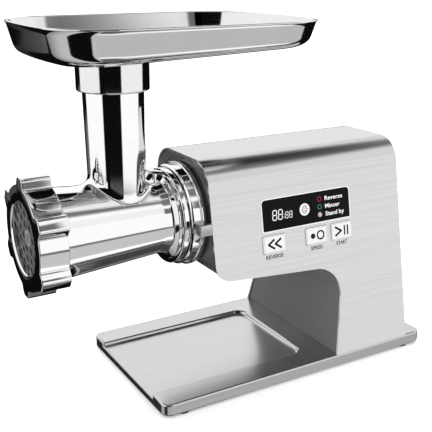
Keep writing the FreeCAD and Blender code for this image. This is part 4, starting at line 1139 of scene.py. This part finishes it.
@dataclass
class Tray:
    """The food tray: a pressed shell with a rolled rim and the collar that slips over the throat."""

    x: float = -57.0
    long: float = 232.0
    wide: float = 178.0
    corner: float = 45.0
    rim: float = 316.4
    deep: float = 28.4
    rise: float = 9.0
    wall: float = 1.2
    draft: float = 7.0
    floor_round: float = 13.0
    turn: float = -0.6
    bow: float = 0.055
    throat_x: float = -101.3
    hole: float = 21.0

    def ring(self, inset: np.ndarray, z: np.ndarray) -> np.ndarray:
        """Rounded rectangles, each smaller than the rim by its inset, at their heights.

        Args:
            inset: Distance inside the rim's outline, one for each ring.
            z: Height of each ring, before the floor's rise.

        Returns:
            Array of rings x points x 3, turned with the tray about its middle.
        """
        quarter = np.linspace(0, math.pi / 2, 25)
        angle = np.concatenate([quarter + k * math.pi / 2 for k in range(4)])[None, :]
        signs = np.repeat([[1, 1], [-1, 1], [-1, -1], [1, -1]], len(quarter), 0)
        radius = np.maximum(self.corner - inset, 2.0)[:, None]
        half = np.stack([self.long / 2 - inset, self.wide / 2 - inset], 1)
        u = signs[None, :, 0] * (half[:, :1] - radius) + radius * np.cos(angle)
        v = signs[None, :, 1] * (half[:, 1:] - radius) + radius * np.sin(angle)
        u, v = self.fill_sides(u), self.fill_sides(v)
        u = u * (1 - self.bow * (v / half[:, 1:]) ** 2)
        c, s = math.cos(math.radians(self.turn)), math.sin(math.radians(self.turn))
        return np.stack([self.x + c * u - s * v, s * u + c * v, self.lifted(u, z[:, None])], -1)

    def lifted(self, u: np.ndarray, z: np.ndarray) -> np.ndarray:
        """Heights after the floor's rise: the depth below the rim shrinks evenly along the tray."""
        share = (u + self.long / 2 + 5.0) / (self.long + 10.0)
        return self.rim - (self.rim - z) * (1 - self.rise * share / self.deep)

    def fill_sides(self, values: np.ndarray) -> np.ndarray:
        """Adds points along each straight side, evenly between the two corners."""
        count = values.shape[1] // 4
        share = np.linspace(0, 1, 12)[None, 1:-1]
        parts = []
        for k in range(4):
            end = (k + 1) * count
            parts.append(values[:, k * count:end])
            last, first = values[:, end - 1][:, None], values[:, end % (4 * count)][:, None]
            parts.append(last + (first - last) * share)
        return np.concatenate(parts, 1)

    def build(self) -> None:
        """Makes the shell and its collar."""
        floor = self.rim - self.deep
        slope = self.draft / self.deep
        lean = math.atan(slope)
        bend = math.pi / 2 - lean
        r = self.floor_round
        t = np.linspace(0, bend, 14)
        foot_z = floor + r * (1 - math.cos(bend))
        foot_in = (self.rim - foot_z) * slope
        outer_in = foot_in + r * (math.sin(bend) - np.sin(t))
        outer_z = floor + r * (1 - np.cos(t))
        inner_r = r - self.wall
        inner_in = foot_in + r * math.sin(bend) - inner_r * np.sin(t)
        inner_z = floor + self.wall + inner_r * (1 - np.cos(t))
        roll = np.linspace(-0.2, 1.0, 11) * math.pi
        rim_in = 0.45 - 1.0 * np.cos(roll)
        rim_z = self.rim - 1.0 + 1.0 * np.sin(roll)
        rise = np.linspace(0.06, 0.97, 6)
        wall_z = foot_z + (self.rim - 1.8 - foot_z) * rise
        wall_in = (self.rim - wall_z) * slope
        inset = np.concatenate([outer_in, wall_in, rim_in, (wall_in + self.wall)[::-1], inner_in[::-1]])
        height = np.concatenate([outer_z, wall_z, rim_z, wall_z[::-1], inner_z[::-1]])
        rings = self.ring(inset, height)
        under = self.to_hole(rings[0], np.linspace(1, 0, 9)[:-1], floor)
        above = self.to_hole(rings[-1], np.linspace(0, 1, 9)[1:], floor + self.wall)
        shell = Surface(np.concatenate([under, rings, above]), wrap_rows=True)
        piece = make_piece("tray_shell", [shell], sharp=50.0)
        dress(piece, TRAY_STEEL, "food_tray")
        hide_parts("tray")
        foot, shelf, top, bore = 262.6, 273.3, 288.0, 25.3
        profile = round_corners([(foot, bore), (foot, 29.5), (top, 29.65), (top, self.hole),
                                 (shelf, self.hole), (shelf, bore)], [0.4, 1.3, 0.0, 0.0, 0.3, 0.3])
        sleeve = revolve(profile, Axis.UPRIGHT, self.throat_x)
        points = sleeve.points
        joined = self.lifted(points[..., 0] - self.x, np.full(points.shape[:2], floor)) + 0.3
        points[..., 2] = np.where(points[..., 2] > top - 0.1, joined, points[..., 2])
        band = make_piece("collar_band", [sleeve])
        dress(band, TRAY_STEEL, "food_tray")
        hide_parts("tray_collar")

    def to_hole(self, ring: np.ndarray, share: np.ndarray, z: float) -> np.ndarray:
        """Rings between the floor's outline (share 0) and the feed hole (share 1), on the sloping floor.

        Args:
            ring: The floor's outline.
            share: How far each new ring has closed in.
            z: The floor's height before its rise.

        Returns:
            Array of rings x points x 3.
        """
        away = ring[:, :2] - np.array([self.throat_x, 0.0])
        angle = np.arctan2(away[:, 1], away[:, 0])
        hole = np.stack([self.throat_x + self.hole * np.cos(angle), self.hole * np.sin(angle)], -1)
        flat = ring[None, :, :2] + (hole - ring[:, :2])[None] * share[:, None, None]
        height = self.lifted(flat[..., 0] - self.x, np.full(flat.shape[:2], z))
        return np.concatenate([flat, height[..., None]], -1)


# --------------------------------------------------------------------------------------------------
# The studio
# --------------------------------------------------------------------------------------------------
@dataclass
class Studio:
    """Camera, floor, lights and the room that polished metal mirrors."""

    eye: tuple[float, float, float] = (-0.3454, -0.5836, 0.3555)
    dip: float = 17.64
    turn: float = -30.20
    lens: float = 65.01
    toward: tuple[float, float] = (-0.503, -0.864)

    def build(self) -> None:
        """Sets up the whole studio."""
        self.camera()
        self.floor()
        self.lights()
        self.room()

    def camera(self) -> None:
        """The camera, level, looking down a little."""
        data = bpy.data.cameras.new("camera")
        data.lens, data.sensor_width, data.clip_start = self.lens, 36.0, 0.01
        camera = bpy.data.objects.new("camera", data)
        camera.location = self.eye
        camera.rotation_euler = (math.radians(90 - self.dip), 0.0, math.radians(self.turn))
        bpy.context.scene.collection.objects.link(camera)
        bpy.context.scene.camera = camera
        bpy.context.scene.view_settings.view_transform = "Standard"

    def floor(self) -> None:
        """A wide pale floor."""
        corners = np.array([[[-6000.0, -6000, 0], [6000, -6000, 0]], [[-6000, 6000, 0], [6000, 6000, 0]]])
        floor = make_piece("floor", [Surface(corners, wrap_columns=False)], closed=False)
        shader = Shader("floor_finish")
        pale = shader.tint(shader.noise((40, 40, 40)), (0.93, 0.93, 0.93), (0.95, 0.95, 0.95))
        shader.give(pale, "Base Color")
        shader.surface.inputs["Roughness"].default_value = 0.9
        shader.surface.inputs["Specular IOR Level"].default_value = 0.0
        shader.surface.inputs["Emission Color"].default_value = (1, 1, 1, 1)
        shader.surface.inputs["Emission Strength"].default_value = 0.22
        floor.data.materials.append(shader.material)
        floor.visible_glossy = False

    def lights(self) -> None:
        """A large soft light overhead and behind, so that the shadows fall forward."""
        for name, place, aim, size, power in (
                ("top_light", (0.1, 0.5, 1.6), (0.0, 0.0, 0.1), 1.2, 9.0),
                ("front_light", (-0.9, -1.4, 1.3), (0.0, 0.0, 0.12), 1.0, 5.0)):
            data = bpy.data.lights.new(name, "AREA")
            data.size, data.energy = size, power
            light = bpy.data.objects.new(name, data)
            light.location = place
            away = np.array(place) - np.array(aim)
            tilt = math.acos(away[2] / np.linalg.norm(away))
            light.rotation_euler = (tilt, 0.0, math.atan2(away[1], away[0]) + math.pi / 2)
            light.visible_glossy = False
            light.visible_camera = False
            bpy.context.scene.collection.objects.link(light)

    def room(self) -> None:
        """White for the eye and for matt surfaces; screens and dark gaps for what polished metal mirrors.

        Every step of the pattern is a smooth step of the direction's height z, of c, the cosine of its
        bearing from the front, or of s, that bearing's sine.
        """
        world = bpy.data.worlds.new("room")
        bpy.context.scene.world = world
        world.use_nodes = True
        tree = world.node_tree
        tree.nodes.clear()
        link = tree.links.new

        def math_node(kind: str, first: object, second: object = None) -> bpy.types.NodeSocket:
            """One sum of the pattern.

            Args:
                kind: The Math node's operation.
                first: A socket or a number.
                second: A socket or a number, where the operation takes two.

            Returns:
                The result.
            """
            node = tree.nodes.new("ShaderNodeMath")
            node.operation = kind
            for index, value in enumerate((first, second)):
                if isinstance(value, bpy.types.NodeSocket):
                    link(value, node.inputs[index])
                elif value is not None:
                    node.inputs[index].default_value = value
            return node.outputs[0]

        def step(value: bpy.types.NodeSocket, start: float, end: float, low: float = 0.0,
                 high: float = 1.0) -> bpy.types.NodeSocket:
            """A smooth step, low before start and high after end.

            Args:
                value: What the step follows.
                start: Where it starts to change.
                end: Where it stops.
                low: Its result before start.
                high: Its result after end.

            Returns:
                The result.
            """
            node = tree.nodes.new("ShaderNodeMapRange")
            node.interpolation_type = "SMOOTHSTEP"
            link(value, node.inputs["Value"])
            for name, number in (("From Min", start), ("From Max", end), ("To Min", low), ("To Max", high)):
                node.inputs[name].default_value = number
            return node.outputs[0]

        def blend(low: object, high: object, share: bpy.types.NodeSocket) -> bpy.types.NodeSocket:
            """low (1 - share) + high share."""
            rest = math_node("MULTIPLY", low, math_node("SUBTRACT", 1.0, share))
            return math_node("ADD", rest, math_node("MULTIPLY", high, share))

        way = tree.nodes.new("ShaderNodeSeparateXYZ")
        link(tree.nodes.new("ShaderNodeTexCoord").outputs["Generated"], way.inputs[0])
        x, y, z = way.outputs
        flat = math_node("SQRT", math_node("ADD", math_node("MULTIPLY", x, x), math_node("MULTIPLY", y, y)))
        flat = math_node("MAXIMUM", flat, 0.001)
        bx, by = self.toward
        forward = math_node("ADD", math_node("MULTIPLY", x, bx), math_node("MULTIPLY", y, by))
        sideways = math_node("ADD", math_node("MULTIPLY", x, -by), math_node("MULTIPLY", y, bx))
        c, s = math_node("DIVIDE", forward, flat), math_node("DIVIDE", sideways, flat)
        middle = step(c, 0.81, 0.845)
        leftward = math_node("SUBTRACT", math_node("MULTIPLY", c, 0.766), math_node("MULTIPLY", s, 0.643))
        middle_low = step(leftward, 0.905, 0.935)
        low = step(z, -0.36, -0.28, 1.0, 0.0)
        middle = blend(middle, middle_low, low)
        behind = step(c, -0.40, -0.355, 1.0, 0.0)
        # above: a bright ceiling with a dark bar, and a graded screen at one side
        bar = math_node("MULTIPLY", step(c, 0.81, 0.845), step(z, 0.60, 0.66, 1.0, 0.0))
        overhead = blend(1.08, step(c, -0.5, 0.1, 0.03, 0.20), step(z, 0.66, 0.75))
        gap = math_node("SUBTRACT", 1.0, math_node("MULTIPLY", bar, 0.997))
        ceiling = math_node("MULTIPLY", overhead, gap)
        screen = math_node("MULTIPLY", step(z, 0.34, 0.38), step(z, 0.56, 0.62, 1.0, 0.0))
        screen = math_node("MULTIPLY", screen, step(s, 0.2, 0.3))
        graded = step(c, 0.49, 0.66, 0.90, 0.16)
        above = math_node("MULTIPLY", ceiling, blend(1.0, graded, screen))
        # below: a fade that rises to a line, and dark gaps in the middle, behind and at the left
        rising = step(z, -0.92, -0.85, 0.14, 0.60)
        glint = math_node("MULTIPLY", step(z, -0.86, -0.83), step(z, -0.78, -0.74, 0.6, 0.0))
        rising = math_node("ADD", rising, glint)
        line = math_node("MULTIPLY", step(z, -0.40, -0.36), step(z, -0.32, -0.28, 0.42, 0.0))
        fade = math_node("SUBTRACT", blend(rising, 1.08, step(z, -0.32, -0.28)), line)
        hollow = math_node("MULTIPLY", step(z, -0.205, -0.180, 1.0, 0.0), step(z, -0.30, -0.27))
        hollow = math_node("MULTIPLY", hollow, behind)
        deep = math_node("MULTIPLY", step(z, -0.30, -0.27, 1.0, 0.0), step(c, -0.40, -0.355))
        left = math_node("MULTIPLY", step(s, -0.25, -0.05, 1.0, 0.0), math_node("MAXIMUM", hollow, deep))
        dark = math_node("MAXIMUM", middle, behind)
        sides = blend(fade, 0.004, dark)
        left = math_node("MULTIPLY", left, math_node("SUBTRACT", 1.0, middle))
        below = blend(sides, step(c, -0.92, 0.35, 0.02, 0.62), left)
        mirrored = blend(below, above, step(z, 0.06, 0.12))
        rays = tree.nodes.new("ShaderNodeLightPath")
        matt = blend(1.12, 1.0, rays.outputs["Is Camera Ray"])
        strength = blend(matt, mirrored, rays.outputs["Is Glossy Ray"])
        shade = tree.nodes.new("ShaderNodeBackground")
        shade.inputs["Color"].default_value = (1, 1, 1, 1)
        link(strength, shade.inputs["Strength"])
        out = tree.nodes.new("ShaderNodeOutputWorld")
        link(shade.outputs[0], out.inputs["Surface"])
        world.cycles.sampling_method = "NONE"


def keep_nodes(nodes: dict[str, bpy.types.Object], record: dict) -> None:
    """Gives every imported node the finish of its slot.

    Args:
        nodes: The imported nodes.
        record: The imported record, whose subparts name each node's slot.
    """
    slot_of = {part["node"]: part["material_slot"] for part in record["subparts"]}
    for name, node in nodes.items():
        finish = NODE_FINISHES.get(name, SLOTS.get(slot_of.get(name, ""), CAST))
        for place in node.material_slots:
            place.material = finish.material()
        log.info("%s keeps its solid in %s", name, finish.name)


def main() -> None:
    """Builds the studio, then each sub-assembly."""
    logging.basicConfig(level=logging.INFO, format="%(message)s")
    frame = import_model()
    nodes = frame["nodes"]
    Studio().build()
    keep_nodes(nodes, frame["record"])
    Housing(nodes).build()
    Display().build()
    for key in (Key("button_reverse", "reverse_key", 19.0, "REVERSE", 18.0, reverse_sign),
                Key("button_mode", "mode_key", 64.5, "SPEED", 13.0, speed_sign),
                Key("button_start", "start_key", 92.9, "START", 12.4, start_sign)):
        key.build()
    Socket().build()
    Head().build(nodes)
    RingNut().build()
    Tray().build()
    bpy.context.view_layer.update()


if __name__ == "__main__":
    main()
